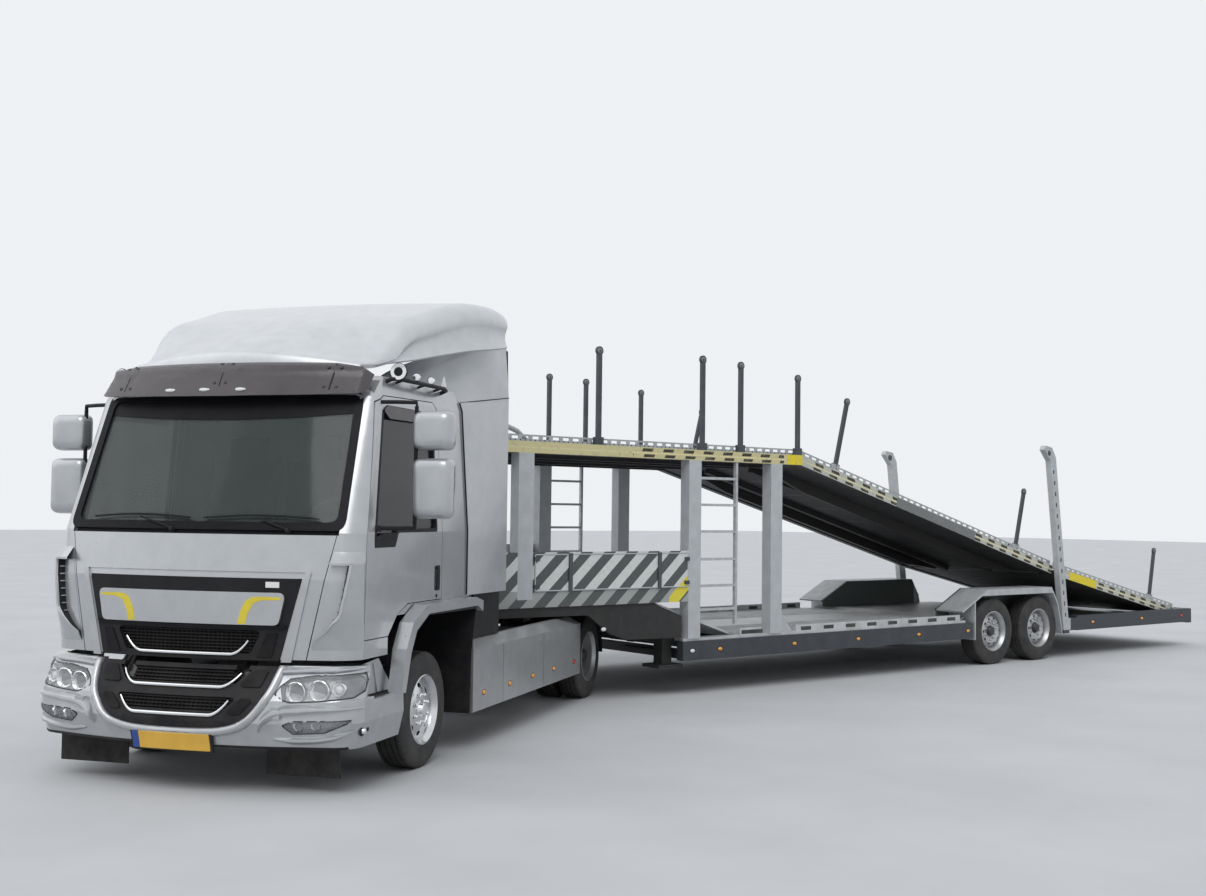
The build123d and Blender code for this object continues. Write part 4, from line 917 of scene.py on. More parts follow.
RAMP = down_slope(RAMP_HINGE, RAMP_SLOPE)
TAIL = down_slope(
    (RAMP_HINGE[0] - RAMP_LENGTH * cos(RAMP_SLOPE), RAMP_HINGE[1] - RAMP_LENGTH * sin(RAMP_SLOPE)), TAIL_SLOPE
)

# dashes of the painted beams: pitch along, then each row's foot, head and shift along
DASH_PITCH = 0.256
DASH_ROWS = ((0.60, 0.90, 0.0), (0.08, 0.36, 0.045))
CREAM = (0.66, 0.60, 0.33)
PALE = (0.55, 0.56, 0.50)
BRIGHT_YELLOW = (0.83, 0.68, 0.03)
DASH_DARK = (0.045, 0.04, 0.028)
LINE_BY_DASHES, LINE_ALONE = (0.80, 0.72, 0.40), (0.72, 0.66, 0.38)
PLAIN_GREY = (0.20, 0.21, 0.21)
WORN_PAINT = (0.36, 0.34, 0.27)
# near black painted on the undersides of the decks and ramps as the shade under them
UNDERSIDE_SHADE = (0.030, 0.029, 0.028)
RAMP_POST = (0.060, 0.066, 0.074)
POST_FOOT = 0.122
BEAM_DEPTH = 0.041


def edge_beam(name, home, face, low, high, ground, hazard, bright, plain=()):
    """Deck finish: galvanised, with painted shade below, and a painted outer beam in two rows of dashes by a
    pale line.
    """
    mat = surface(
        name, (0.42, 0.44, 0.45), 0.5, metal=0.3, vary=0.15, scale=14.0, grain=90.0, bump=0.03, dirt=0.0,
        home=home,
    )
    tree, shader, tone = parts_of(mat)
    coords = local_coords(tree, home)
    along, across, height = places(tree, coords)
    span = high - low

    def zones(limits):
        return joined(tree, "MAXIMUM", [between(tree, along, *zone) for zone in limits])

    rows = []
    for start, end, shift in DASH_ROWS:
        run = math_node(tree, "ADD", math_node(tree, "ADD", along, shift), times(tree, height, 0.5))
        phase = math_node(tree, "FRACT", math_node(tree, "DIVIDE", run, DASH_PITCH))
        row = between(tree, height, low + span * start, low + span * end)
        rows.append(times(tree, less(tree, phase, 0.5), row))
    dashes = mix(tree, joined(tree, "MAXIMUM", rows), ground, DASH_DARK)
    line = between(tree, height, low + span * 0.42, low + span * 0.55)
    dashes = mix(tree, line, dashes, LINE_BY_DASHES)
    painted = mix(tree, line, ground, LINE_ALONE)
    if plain:
        painted = mix(tree, zones(plain), painted, PLAIN_GREY)
    painted = mix(tree, zones(hazard), painted, dashes)
    if bright:
        painted = mix(tree, zones(bright), painted, BRIGHT_YELLOW)
    worn = noise(tree, coords, 30.0, 5.0)
    painted = mix(tree, ramp(tree, worn, 0.55, 0.85), painted, WORN_PAINT)
    on_face = times(tree, more(tree, across, face), between(tree, height, low - 0.003, high + 0.003))
    # painted shade: below the beam and inside its face, the galvanised underside is darkened to near black as
    # the shade under the deck
    below = times(tree, less(tree, height, high - BEAM_DEPTH), less(tree, across, face - 0.004))
    tone = mix(tree, below, tone, UNDERSIDE_SHADE)
    if home is not TRAILER:
        # posts and pulleys that stand on the ramp are dark
        tone = mix(tree, more(tree, height, POST_FOOT), tone, RAMP_POST)
    tree.links.new(mix(tree, on_face, tone, painted), shader.inputs["Base Color"])
    return mat


# diagonals of the side panels, and the yellow band at their rear
STRIPE_PITCH = 0.263
STRIPE_LEAN = 1.11
FLAP_FOOT = 1.022
YELLOW_BAND = (-0.50, -0.33)
YELLOW_END = -1.36
LATCH_BAR_FACE = 1.2605


def panel_stripes():
    """Side panels: white and dark grey diagonals, greyer below the flap, with one yellow band at the rear."""
    mat = surface("panel_paint", (0.6, 0.6, 0.6), 0.42, vary=0.06, bump=0.01, dirt=0.12, home=TRAILER)
    tree, shader = parts_of(mat)[:2]
    coords = local_coords(tree, TRAILER)
    along, across, height = places(tree, coords)
    place = math_node(tree, "ADD", along, times(tree, height, STRIPE_LEAN))
    phase = math_node(tree, "FRACT", math_node(tree, "DIVIDE", place, STRIPE_PITCH))
    worn = noise(tree, coords, 45.0, 5.0)
    white = ramp(tree, worn, 0.3, 0.8, (0.66, 0.68, 0.66), (0.78, 0.80, 0.78))
    white = mix(tree, less(tree, height, FLAP_FOOT), white, (0.40, 0.41, 0.40))
    grey = ramp(tree, worn, 0.3, 0.8, (0.075, 0.085, 0.085), (0.10, 0.115, 0.115))
    painted = mix(tree, less(tree, phase, 0.5), white, grey)
    rear = times(tree, less(tree, along, YELLOW_END), between(tree, place, *YELLOW_BAND))
    painted = mix(tree, rear, painted, (0.80, 0.70, 0.06))
    painted = mix(tree, more(tree, across, LATCH_BAR_FACE), painted, (0.075, 0.080, 0.085))
    tree.links.new(painted, shader.inputs["Base Color"])
    return mat


def zoned(name, base, other, test):
    """Two-tone trailer paint: base colour, and another where the test of along, across and height holds."""
    mat = surface(name, base, 0.45, metal=0.2, vary=0.12, bump=0.02, dirt=0.2, home=TRAILER)
    tree, shader, tone = parts_of(mat)
    mask = test(tree, *places(tree, local_coords(tree, TRAILER)))
    tree.links.new(mix(tree, mask, tone, other), shader.inputs["Base Color"])
    return mat


# rear board: its face, then the lamps and the blank plate painted on it, by limits across and up
BOARD_FACE = -10.878
BOARD_ZONES = (
    (0.62, 1.18, 0.345, 0.475, (0.012, 0.012, 0.013)), (0.64, 0.80, 0.355, 0.465, (0.85, 0.36, 0.04)),
    (0.81, 0.99, 0.355, 0.465, (0.50, 0.02, 0.015)), (1.00, 1.16, 0.355, 0.465, (0.55, 0.03, 0.02)),
    (-1.0, 0.26, 0.36, 0.47, (0.78, 0.78, 0.76)),
)


def rear_board():
    """Rear frame: pale in front, dark behind and low down, with its lamps and blank plate."""
    mat = zoned(
        "rear_frame_paint", (0.50, 0.52, 0.53), (0.045, 0.052, 0.062),
        lambda tree, x, y, z: joined(tree, "MAXIMUM", [less(tree, x, -7.96), less(tree, z, 0.34)]),
    )
    tree, shader, painted = parts_of(mat)
    along, across, height = places(tree, local_coords(tree, TRAILER))
    board = less(tree, along, BOARD_FACE)
    for y0, y1, z0, z1, color in BOARD_ZONES:
        inside = times(tree, between(tree, across, y0, y1), between(tree, height, z0, z1))
        painted = mix(tree, times(tree, board, inside), painted, color)
    tree.links.new(painted, shader.inputs["Base Color"])
    return mat


def make_trailer_materials():
    M["upper_deck"] = edge_beam(
        "upper_deck_paint", TRAILER, 1.246, UPPER_LOW, UPPER_HIGH, CREAM, [(-2.88, -0.9)], [(-3.15, -2.93)]
    )
    M["ramp"] = edge_beam(
        "ramp_paint", RAMP, 1.147, RAMP_LOW, RAMP_HIGH, PALE, [(0.16, 1.6), (3.05, 4.66)], [], [(1.6, 3.05)]
    )
    M["tail"] = edge_beam(
        "tail_paint", TAIL, 1.147, RAMP_LOW, RAMP_HIGH, PALE, [(0.95, 2.92)], [(0.35, 0.95)]
    )
    M["panel"] = panel_stripes()
    M["rear_frame"] = rear_board()
    M["lower_frame"] = zoned(
        "lower_frame_paint", (0.045, 0.053, 0.064), (0.022, 0.022, 0.022),
        lambda tree, x, y, z: less(tree, y, 1.15),
    )
    M["fender"] = zoned(
        "fender_paint", (0.50, 0.52, 0.53), (0.10, 0.115, 0.11),
        lambda tree, x, y, z: times(tree, less(tree, y, 0.885), more(tree, x, -7.6)),
    )


TRAILER_FINISHES = {
    "upper_deck": "upper_deck", "ramp_main": "ramp", "ramp_tail": "tail", "side_panels": "panel",
    "rear_frame": "rear_frame", "lower_frame": "lower_frame", "floor_plates": "floor", "fenders": "fender",
    "deck_posts": "post_grey", "ladders": "galvanised", "guard_posts": "dark_post",
    # gooseneck and landing legs: dark paint deepened to near black as painted shade under the upper deck
    "gooseneck": "dark_steel_and_shade", "landing_legs": "dark_steel_and_shade", "trailer_axles": "chassis",
}

# side lamps: the gooseneck's, place along, height and how far out; then the row along the lower frame
NECK_LAMP = (-0.60, 0.66, 1.2255)
LAMP_ROW_HEIGHT = 0.415
LAMP_ROW = {
    "white_lens": (-1.66,), "amber": (-2.02, -3.05, -4.02, -5.02, -5.90, -8.45, -9.60), "red": (-10.60,),
}


def oval_lamp(piece, color, along, height, out, base, lens, shape):
    """Lamp on a side: dark base and coloured lens, turned round and then drawn out to an oval."""
    first = len(piece.bm.verts)
    for finish, profile in (("black", base), (color, lens)):
        piece.use(finish).lathe([(r, out + y) for r, y in profile], (along, 0, height), "Y", 20)
    middle = Matrix.Translation((along, 0, height))
    piece.turned(middle @ Matrix.Diagonal((*shape, 1)) @ middle.inverted(), first)


def side_lamps():
    """Small lamps let into the trailer's sides, each with a dark rim."""
    piece = Piece("trailer_side_lamps", TRAILER, "trailer", "anthracite")
    spots = [("white_lens", *NECK_LAMP)]
    for color, row in LAMP_ROW.items():
        spots += [(color, along, LAMP_ROW_HEIGHT, HALF) for along in row]
    for spot in spots:
        base = ((0.0, 0.0), (0.030, 0.0), (0.030, -0.004))
        lens = ((0.0, 0.012), (0.012, 0.011), (0.020, 0.006), (0.023, -0.001))
        oval_lamp(piece, *spot, base, lens, (1.25, 1, 0.8))
    piece.mirror()
    piece.done()


# folded flap: its tubes' face, ends along and edges up
FLAP_FACE = 1.258
FLAP_ENDS = (0.19, -1.585)
FLAP_EDGES = (FLAP_FOOT, 1.335)


def flap_fittings():
    """Frame tubes, hinges and latch bars of the folded flaps on the side panels."""
    piece = Piece("flap_fittings", TRAILER, "trailer", "anthracite").use("post_grey")
    for z in FLAP_EDGES:
        piece.rod((FLAP_ENDS[0], FLAP_FACE, z), (FLAP_ENDS[1], FLAP_FACE, z), 0.006, 8)
    for u in FLAP_ENDS:
        piece.rod((u, FLAP_FACE, FLAP_EDGES[0]), (u, FLAP_FACE, FLAP_EDGES[1]), 0.006, 8)
    piece.use("dark_post")
    for u in (-0.19, -1.227):
        piece.box((u - 0.020, u + 0.020), (FLAP_FACE, 1.2715), (1.012, 1.342))
        for z in (1.03, 1.18, 1.32):
            button = [(0.0, 0.0135), (0.010, 0.013), (0.016, 0.008), (0.017, 0.0)]
            piece.lathe(button, (u, FLAP_FACE, z), "Y", 12)
    for u, z in ((0.175, 1.30), (0.175, 1.06), (-1.57, 1.28), (-1.57, 1.06)):
        piece.box((u - 0.03, u + 0.03), (1.252, 1.268), (z - 0.018, z + 0.018))
    piece.mirror()
    piece.done(bevel=0.002)


def floor_fittings():
    """Tie-down slots in the low flange, and the tread bars of the floor and of its slope."""
    piece = Piece("floor_slots", TRAILER, "trailer", "anthracite").use("chassis")
    slots = [-5.62 + 0.34 * i for i in range(8)] + [-2.54, -2.40]
    for u in slots:
        for v in (1.2285, 1.2155):
            piece.box((u - 0.075, u + 0.075), (v - 0.0008, v + 0.0008), (0.540, 0.578))
    piece.mirror()
    piece.done()
    bars = Piece("floor_tread_bars", TRAILER, "trailer", "floor_metal").use("floor")
    level = [(-5.84 + 3.46 * i / 149, 1.10, 0.5302, 0.5335) for i in range(150)]
    slope = []
    for i in range(34):
        u = -2.28 + 1.02 * i / 33
        z = 0.53 + (u + 2.33) / 1.125 * 0.37
        slope.append((u, 1.08, z - 0.001, z + 0.0035))
    for u, out, low, high in level + slope:
        bars.pair((u - 0.004, u + 0.004), (0.35, out), (low, high))
    bars.done()


def deck_slots():
    """Fine row of round holes along the chock plates of the upper deck and of both ramp sections."""
    spots = (
        ("upper_deck_holes", TRAILER, "trailer", -3.13, 0.93, 1.200, UPPER_HIGH + 0.012),
        ("ramp_holes", RAMP, "ramp", 0.04, 4.63, 1.104, 0.068),
        ("tail_holes", TAIL, "ramp_tail", 0.04, 2.90, 1.104, 0.068),
    )
    pitch = 0.052
    for name, home, body, start, end, y, low in spots:
        piece = Piece(name, home, body, "anthracite").use("chassis")
        for i in range(int((end - start) / pitch)):
            for sign in (1, -1):
                for out in (0.0044, -0.0044):
                    at = (start + (i + 0.5) * pitch, sign * y + out, low)
                    piece.lathe([(0.0, 0.0), (0.007, 0.0)], at, "Y", 8)
        piece.done()


def guard_fittings():
    """Clamps, bolts and rollers of the guard posts."""
    deck = ((-0.51, 0.83), (-1.78, 0.85), (-2.29, 0.83), (-3.10, 0.76))
    rows = (
        ("deck_guard_rollers", TRAILER, "trailer", 1.227, UPPER_HIGH, deck),
        ("ramp_guard_rollers", RAMP, "ramp", 1.127, RAMP_HIGH, ((0.56, 0.74), (3.88, 0.70))),
        ("tail_guard_rollers", TAIL, "ramp_tail", 1.127, RAMP_HIGH, ((2.27, 0.64),)),
    )
    wall = [(0.0, -0.0115), (0.026, -0.0115), (0.028, -0.0105)]
    roller = wall + [(r, -y) for r, y in reversed(wall)]
    pin = [(0.0, -0.016), (0.010, -0.015), (0.010, 0.015), (0.0, 0.016)]
    for name, home, body, out, base, posts in rows:
        piece = Piece(name, home, body, "anthracite")
        for x, height in posts:
            for y in (out, -out):
                top = (x, y, base + height + 0.018)
                piece.use("roller").lathe(roller, top, "Y", 20)
                piece.use("dark_post").lathe(pin, top, "Y", 12)
                piece.box((x - 0.026, x + 0.026), (y - 0.019, y + 0.019), (base + 0.004, base + 0.064))
                for z in (base + 0.02, base + 0.05):
                    piece.rod((x, y - 0.023, z), (x, y + 0.023, z), 0.008, 8)
        piece.done(bevel=0.0015)


def lift_post_fittings():
    """Ribs and slots up the lift posts, and the pulleys at their tops."""
    piece = Piece("lift_post_ribs", TRAILER, "trailer", "galvanised").use("galvanised")
    foot, head = Vector((-7.86, 0, 0.34)), Vector((-7.57, 0, 2.42))
    run = head - foot
    for i in range(15):
        at = foot + run * (0.06 + 0.9 * i / 14)
        piece.box((at.x - 0.045, at.x + 0.045), (1.186, 1.2625), (at.z - 0.008, at.z + 0.008))
    piece.use("chassis")
    for i in range(14):
        at = foot + run * (0.09 + 0.9 * i / 14)
        piece.box((at.x - 0.012, at.x + 0.012), (1.2595, 1.2612), (at.z - 0.025, at.z + 0.025))
    pulley = [(0.0, 1.262), (0.03, 1.262), (0.036, 1.258), (0.036, 1.18), (0.0, 1.18)]
    piece.use("dark_post").lathe(pulley, (-7.50, 0, 2.49), "Y", 24)
    piece.mirror()
    piece.done(bevel=0.001)


def under_sheets():
    """Sheets and long beams that close the decks from below, in near black as painted shade under the decks.
    """
    spots = (
        ("upper_deck_underside", TRAILER, "trailer", -3.10, 0.90, 1.118, 2.2225, (0.34, 0.78), 0.032),
        ("ramp_underside", RAMP, "ramp", 0.085, 4.60, 1.055, -0.0275, (0.34,), 0.050),
        ("tail_underside", TAIL, "ramp_tail", 0.085, 2.70, 1.055, -0.0265, (), 0.0),
    )
    for name, home, body, start, end, half, low, beams, depth in spots:
        # painted shade: the sheets and beams under the deck are near black to stand for its shade
        piece = Piece(name, home, body, "anthracite").use("under_dark")
        piece.box((start, end), (-half, half), (low, low + 0.003))
        for y in beams:
            piece.pair((start + 0.03, end - 0.03), (y - 0.022, y + 0.022), (low - depth, low))
            piece.pair((start + 0.03, end - 0.03), (y - 0.040, y + 0.040), (low - depth - 0.004, low - depth))
        piece.done()


def make_trailer():
    for name, finish in TRAILER_FINISHES.items():
        finish_node(name, finish)
    side_lamps()
    flap_fittings()
    floor_fittings()
    deck_slots()
    guard_fittings()
    lift_post_fittings()
    under_sheets()


# Tractor

# visor rows: as the cab's, already moved out to the visor's outside
VISOR_ROWS = (
    (2.405, 0.650, 0.985, 0.761, 0.930, 0.876),
    (2.582, 0.540, 0.965, 0.646, 0.905, 0.781),
)
VISOR = Skin(VISOR_ROWS, 0.30)
# height at which the visor's face turns back to the roof
VISOR_BEND = 2.600

# outlines in a side view (along, up) and, from the screen on, in a front view (across, up)
WINDOW = (
    (0.770, 1.470), (0.775, 1.560), (0.590, 2.330), (0.520, 2.372), (-0.170, 2.372), (-0.222, 2.320),
    (-0.205, 1.560), (0.430, 1.560), (0.480, 1.470),
)
SCREEN = ((0.945, 1.590), (0.900, 2.425))
LAMP = (
    (0.634, 0.606), (0.655, 0.650), (0.712, 0.698), (0.850, 0.715), (1.100, 0.726), (1.118, 0.690),
    (1.112, 0.625), (1.080, 0.590), (0.900, 0.572), (0.735, 0.562), (0.690, 0.575),
)
LAMP_HOLE = ((0.640, 0.690), (0.820, 0.712), (1.118, 0.730), (1.118, 0.586), (0.700, 0.548))
FOG = ((0.700, 0.430), (0.760, 0.456), (1.080, 0.462), (1.060, 0.440), (0.940, 0.388), (0.760, 0.380))
FOG_HOLE = ((0.670, 0.445), (1.080, 0.465), (1.080, 0.395), (0.740, 0.372))
# round lights behind the covers: place across, height, radius and finish of the middle
LAMP_LIGHTS = (
    (0.752, 0.636, 0.056, "lens"), (0.890, 0.644, 0.058, "lens"), (1.010, 0.652, 0.040, "white_lens"),
)
FOG_LIGHTS = ((0.80, 0.420, 0.026, "lens"), (0.90, 0.425, 0.026, "lens"))
# left half of the lower grille's outline, from the top to the middle
BOWL = (
    (0.604, 0.700), (0.582, 0.620), (0.535, 0.535), (0.455, 0.450), (0.320, 0.407), (0.160, 0.396),
    (0.0, 0.394),
)
BOWL_TOP = (0.612, 0.764)


def moved(points, amount):
    """An outline moved along its corners' normals: outwards if the amount is above nought."""
    count = len(points)
    area = 0.0
    for i in range(count):
        (ax, ay), (bx, by) = points[i], points[(i + 1) % count]
        area += ax * by - bx * ay
    way = 1 if area > 0 else -1
    result = []
    for i in range(count):
        before, here, after = (Vector(points[(i + k) % count]) for k in (-1, 0, 1))
        first = (here - before).normalized()
        second = (after - here).normalized()
        normal = Vector((first.y + second.y, -first.x - second.x)) * way
        spread = normal.normalized()
        share = max(0.35, spread.dot(Vector((first.y, -first.x)) * way))
        result.append(tuple(here + spread * amount / share))
    return result


def flipped(points):
    """The same outline on the right side of a front view."""
    return [(-y, z) for y, z in points]


def on_hand(points, sign):
    """An outline of the left side, or its twin on the right."""
    return points if sign > 0 else flipped(points)


def oblong(y0, y1, z0, z1):
    return [(y1, z1), (y0, z1), (y0, z0), (y1, z0)]


def off_skin(inset, lift):
    """Inset of a plate that is lifted off its skin, never quite nought."""
    return inset - lift if abs(inset - lift) > 1e-6 else 1e-6


def on_front(skin, lift=0.0):
    """Projection of a front view (across, up) on a skin, lifted off it by an amount."""
    return lambda y, z, inset: skin.front(y, z, off_skin(inset, lift))


def on_side(sign, lift=0.0):
    """Projection of a side view (along, up) on the cab's left or right side."""
    return lambda x, z, inset: CAB.side(x, z, off_skin(inset, lift), sign)


def on_deflector(sign):
    """Projection of a side view on a side deflector."""
    return lambda x, z, inset: Vector((x, sign * (deflector_side(x, z) - inset), z))


def lay(piece, finish, outline, lift, thick, step, skin=CAB, holes=()):
    """Plate in a finish, laid on the front of a skin and lifted off it."""
    piece.use(finish).panel(outline, on_front(skin, lift), thick, step, holes)


# what counts as the cabin's inside: slopes of the pillars and of the screen above the window line
WINDOW_LINE = 1.56
PILLAR, PILLAR_LEAN = 1.035, 0.0775
SCREEN_INSIDE, SCREEN_LEAN, SCREEN_BOW = 1.065, 0.372, 0.125
BACK_WALL, CABIN_FLOOR, CABIN_ROOF = -0.71, 1.08, 2.53
# the arms under the cab: half width and top of the zone they are in
ARMS_HALF, ARMS_TOP = 0.62, 0.83


def inside_trim():
    """Cab paint outside, grey trim on what faces the cabin and black on the arms under the cab."""
    mat = surface("cab_skin", SILVER, 0.30, **SILVER_LOOK)
    tree, shader, tone = parts_of(mat)
    along, across, height = places(tree, local_coords(tree, TRACTOR))
    above = math_node(tree, "MAXIMUM", minus(tree, height, WINDOW_LINE), 0.0)
    side_limit = minus(tree, PILLAR, times(tree, above, PILLAR_LEAN))
    bow = times(tree, times(tree, across, across), SCREEN_BOW)
    front_limit = minus(tree, minus(tree, SCREEN_INSIDE, times(tree, above, SCREEN_LEAN)), bow)
    cabin = joined(tree, "MULTIPLY", [
        less(tree, across, side_limit), less(tree, along, front_limit), more(tree, along, BACK_WALL),
        between(tree, height, CABIN_FLOOR, CABIN_ROOF),
    ])
    arms = times(tree, less(tree, across, ARMS_HALF), less(tree, height, ARMS_TOP))
    tone = mix(tree, cabin, tone, (0.13, 0.133, 0.138))
    tree.links.new(mix(tree, arms, tone, (0.012, 0.012, 0.013)), shader.inputs["Base Color"])
    bare = minus(tree, 1.0, joined(tree, "MAXIMUM", [cabin, arms]))
    tree.links.new(times(tree, bare, SILVER_LOOK["metal"]), shader.inputs["Metallic"])
    return mat


TRACTOR_FINISHES = {
    "tractor_frame": "chassis", "engine": "iron", "fifth_wheel": "iron", "front_axle": "chassis",
    "rear_axle": "chassis", "chassis_tanks": "chassis", "bumper": "silver", "lower_grille": "black",
    "front_arches": "silver", "mudguards": "black", "front_flaps": "rubber", "side_skirts": "skirt",
    "cab_shell": "cab_skin", "windscreen": "glass", "seats": "fabric", "dashboard": "dash",
    "sun_visor": "smoked", "side_deflectors": "spoiler", "front_lid": "silver", "grille": "black",
    "door_left": "cab_skin",
    "door_right": "cab_skin", "door_glass_left": "door_glass", "door_glass_right": "door_glass",
    "knuckle_left": "chassis", "knuckle_right": "chassis",
}

# spoiler sections, front to back: along, half width, lower edge, shoulder, top
SPOILER_ROWS = (
    (0.700, 0.850, 2.620, 2.635, 2.710),
    (0.580, 0.870, 2.630, 2.650, 2.775),
    (0.420, 0.890, 2.650, 2.705, 2.850),
    (0.100, 0.965, 2.700, 2.965, 2.985),
    (-0.300, 1.000, 2.770, 3.090, 3.110),
    (-0.750, 1.050, 2.855, 3.215, 3.230),
    (-1.150, 1.105, 2.915, 3.255, 3.265),
    (-1.400, 1.112, 2.955, 3.250, 3.265),
)


def spline_row(rows, t):
    """Row between rows of a table, on a smooth curve through them."""
    last = len(rows) - 1
    i = min(int(t), last - 1)
    s = t - i
    p = [np.array(rows[min(max(k, 0), last)]) for k in (i - 1, i, i + 1, i + 2)]
    return 0.5 * (
        2 * p[1] + (p[2] - p[0]) * s + (2 * p[0] - 5 * p[1] + 4 * p[2] - p[3]) * s ** 2
        + (3 * p[1] - p[0] - 3 * p[2] + p[3]) * s ** 3
    )


def spoiler_row(x):
    """Half width and lower edge of the spoiler at a place along."""
    along = [-row[0] for row in SPOILER_ROWS]
    return [read_at(-x, along, [row[k] for row in SPOILER_ROWS]) for k in (1, 2)]


def nose_bow(x, y, half):
    """How far the spoiler's section is drawn back across it, so that its nose follows the visor."""
    return 0.13 * clamp(x + 0.3) ** 1.3 * (y / half) ** 2


def spoiler_profile(row, inset):
    """Across the spoiler, left lower edge to right: hollow cheek, round shoulder and crowned top."""
    x, half, low, shoulder, top = row
    y = half - inset
    up = shoulder - inset
    crown = top - inset
    radius = min(0.13, (shoulder - low) * 0.8)
    left = [(y, low + 0.004), (y, low + 0.003)] if inset else [(y - 0.030, low + 0.004), (y - 0.008, low)]
    for k in range(6):
        t = k / 6
        z = low + 0.010 + (up - radius - low - 0.010) * t
        left.append((y - 0.020 * sin(pi * t) * min(1.0, (shoulder - low) / 0.25), z))
    for k in range(9):
        turn = pi / 2 * k / 8
        left.append((y - radius + radius * cos(turn), up - radius + radius * sin(turn)))
    edge = y - radius
    for k in range(1, 13):
        across = edge * (1 - k / 12)
        left.append((across, up + (crown - up) * (1 - (across / edge) ** 2)))
    whole = left + flipped(reversed(left[:-1]))
    return [(x - nose_bow(x, a, half), a, b) for a, b in whole]


def roof_spoiler():
    """Roof spoiler as one smooth shell with a closed nose and rolled lower edge."""
    piece = Piece("roof_spoiler_shell", TRACTOR, "cab", "spoiler_paint").use("spoiler")
    stations = 56
    outer, inner = [], []
    for k in range(stations + 1):
        row = spline_row(SPOILER_ROWS, (len(SPOILER_ROWS) - 1) * k / stations)
        outer.append(piece.verts(spoiler_profile(row, 0.0)))
        inner.append(piece.verts(spoiler_profile(row, 0.022)))
    ends = [[[row[end] for row in outer], [row[end] for row in inner]] for end in (0, -1)]
    for rows in (outer, inner, [outer[-1], inner[-1]], *ends):
        piece.loop_rows(rows, closed=False)
    # nose: rounds over from the first section down to the roof behind the visor
    previous = outer[0]
    for forward, share in ((0.014, 0.22), (0.022, 0.55), (0.024, 1.0)):
        ring = piece.verts([
            (v.co.x + forward, v.co.y, v.co.z + (2.578 - v.co.z) * share) for v in outer[0]
        ])
        piece.loop_rows([previous, ring], closed=False)
        previous = ring
    piece.loop_rows([previous, inner[0]], closed=False)
    piece.use("black")
    for sign in (1, -1):
        piece.box((-0.62, 0.50), (sign * 0.45, sign * 0.47), (2.561, 2.66))
    piece.done(replaces=("roof_spoiler",), angle=50)


# the cab's back edge on the cheeks and deflectors, their rear edge, and the cheeks' front end
CAB_BACK, CHEEK_REAR, CHEEK_FRONT = -0.75, -1.424, -0.15
CHEEK_THICK = 0.014


def cheek_foot(x):
    """Lower edge of the hollow cheek at a place along: distance from the middle, and height."""
    if x < CAB_BACK:
        z = 2.578 + (x + 1.43) / 0.68 * -0.088
        return deflector_side(x, z), z
    z = 2.49 + min(0.06, (x - CAB_BACK) * 0.3)
    return deflector_side(CAB_BACK, z) - 0.62 * (x - CAB_BACK), z


def spoiler_cheeks():
    """Hollow cheeks under the roof spoiler, and the seams between them and the side deflectors."""
    cheeks = Piece("spoiler_cheeks", TRACTOR, "cab", "spoiler_paint").use("silver")
    seams = Piece("spoiler_seams", TRACTOR, "cab", "black_plastic").use("rubber")
    columns, steps = 28, 14
    for sign in (1, -1):
        rows = [[], []]
        for grid, depth in zip(rows, (0.0, CHEEK_THICK)):
            for i in range(columns + 1):
                x = CHEEK_REAR + (CHEEK_FRONT - CHEEK_REAR) * i / columns
                half, low = spoiler_row(x)
                foot_y, foot_z = cheek_foot(x)
                # the cheek leans inwards towards the front, where it meets the roof's side
                lean = max(0.0, (x + 1.20) / 1.05)
                column = []
                for j in range(steps + 1):
                    t = j / steps
                    y = foot_y + (half - 0.014 - foot_y) * t - 0.10 * lean * sin(pi * t) ** 0.9
                    column.append((x, sign * (y - depth), foot_z + (low + 0.004 - foot_z) * t))
                grid.append(cheeks.verts(column))
        for grid in rows:
            cheeks.loop_rows(grid, closed=False)
        for k in (0, -1):
            cheeks.loop_rows([rows[0][k], rows[1][k]], closed=False)
            cheeks.loop_rows([[c[k] for c in grid] for grid in rows], closed=False)
        seams.tube([
            (x, sign * (deflector_side(x, 2.5) + 0.001), 2.489 - (x + 0.752) * 0.130)
            for x in (-0.752, -0.90, -1.05, -1.20, -1.35, CHEEK_REAR)
        ], 0.0035, 6)
    cheeks.done(angle=60)
    seams.done()


def deflector_side(x, z):
    """How far out the side deflector stands: on the cab's side in front, flared at the back."""
    half = read_at(z, CAB.rows[:, 0], CAB.rows[:, 2])
    return half + 0.006 + (1.116 - half) * clamp((-0.735 - x) / 0.69) ** 0.75


def deflector_trim():
    """Side deflectors behind the cab, with rolled rear edges and dark seams."""
    piece = Piece("deflector_skins", TRACTOR, "cab", "cab_paint").use("silver")
    outline = [(-0.738, 2.490), (-1.426, 2.577), (-1.426, 1.100), (-0.738, 1.100)]
    for sign in (1, -1):
        piece.panel(outline, on_deflector(sign), 0.014, 0.06)
    piece.done(bevel=0.003, angle=40, replaces=("side_deflectors",))
    seam = Piece("deflector_lips", TRACTOR, "cab", "black_plastic").use("rubber")
    seam.tube([(-0.740, deflector_side(-0.740, z), z) for z in (1.105, 1.56, 2.0, 2.42, 2.485)], 0.0065, 8)
    seam.tube([(-1.428, 1.112, 1.102), (-1.428, 1.112, 2.575), (-1.428, 1.102, 2.94)], 0.006, 8)
    seam.mirror()
    seam.done()


def visor_point(y, z, inset):
    """Point of the smoked visor: its face, and above it the flange that leans back to the roof."""
    lean = max(0.0, z - VISOR_BEND)
    point = VISOR.front(y, min(z, VISOR_BEND), off_skin(inset, 0.0))
    return point + Vector((-1.5 * lean, 0, lean * 0.95))


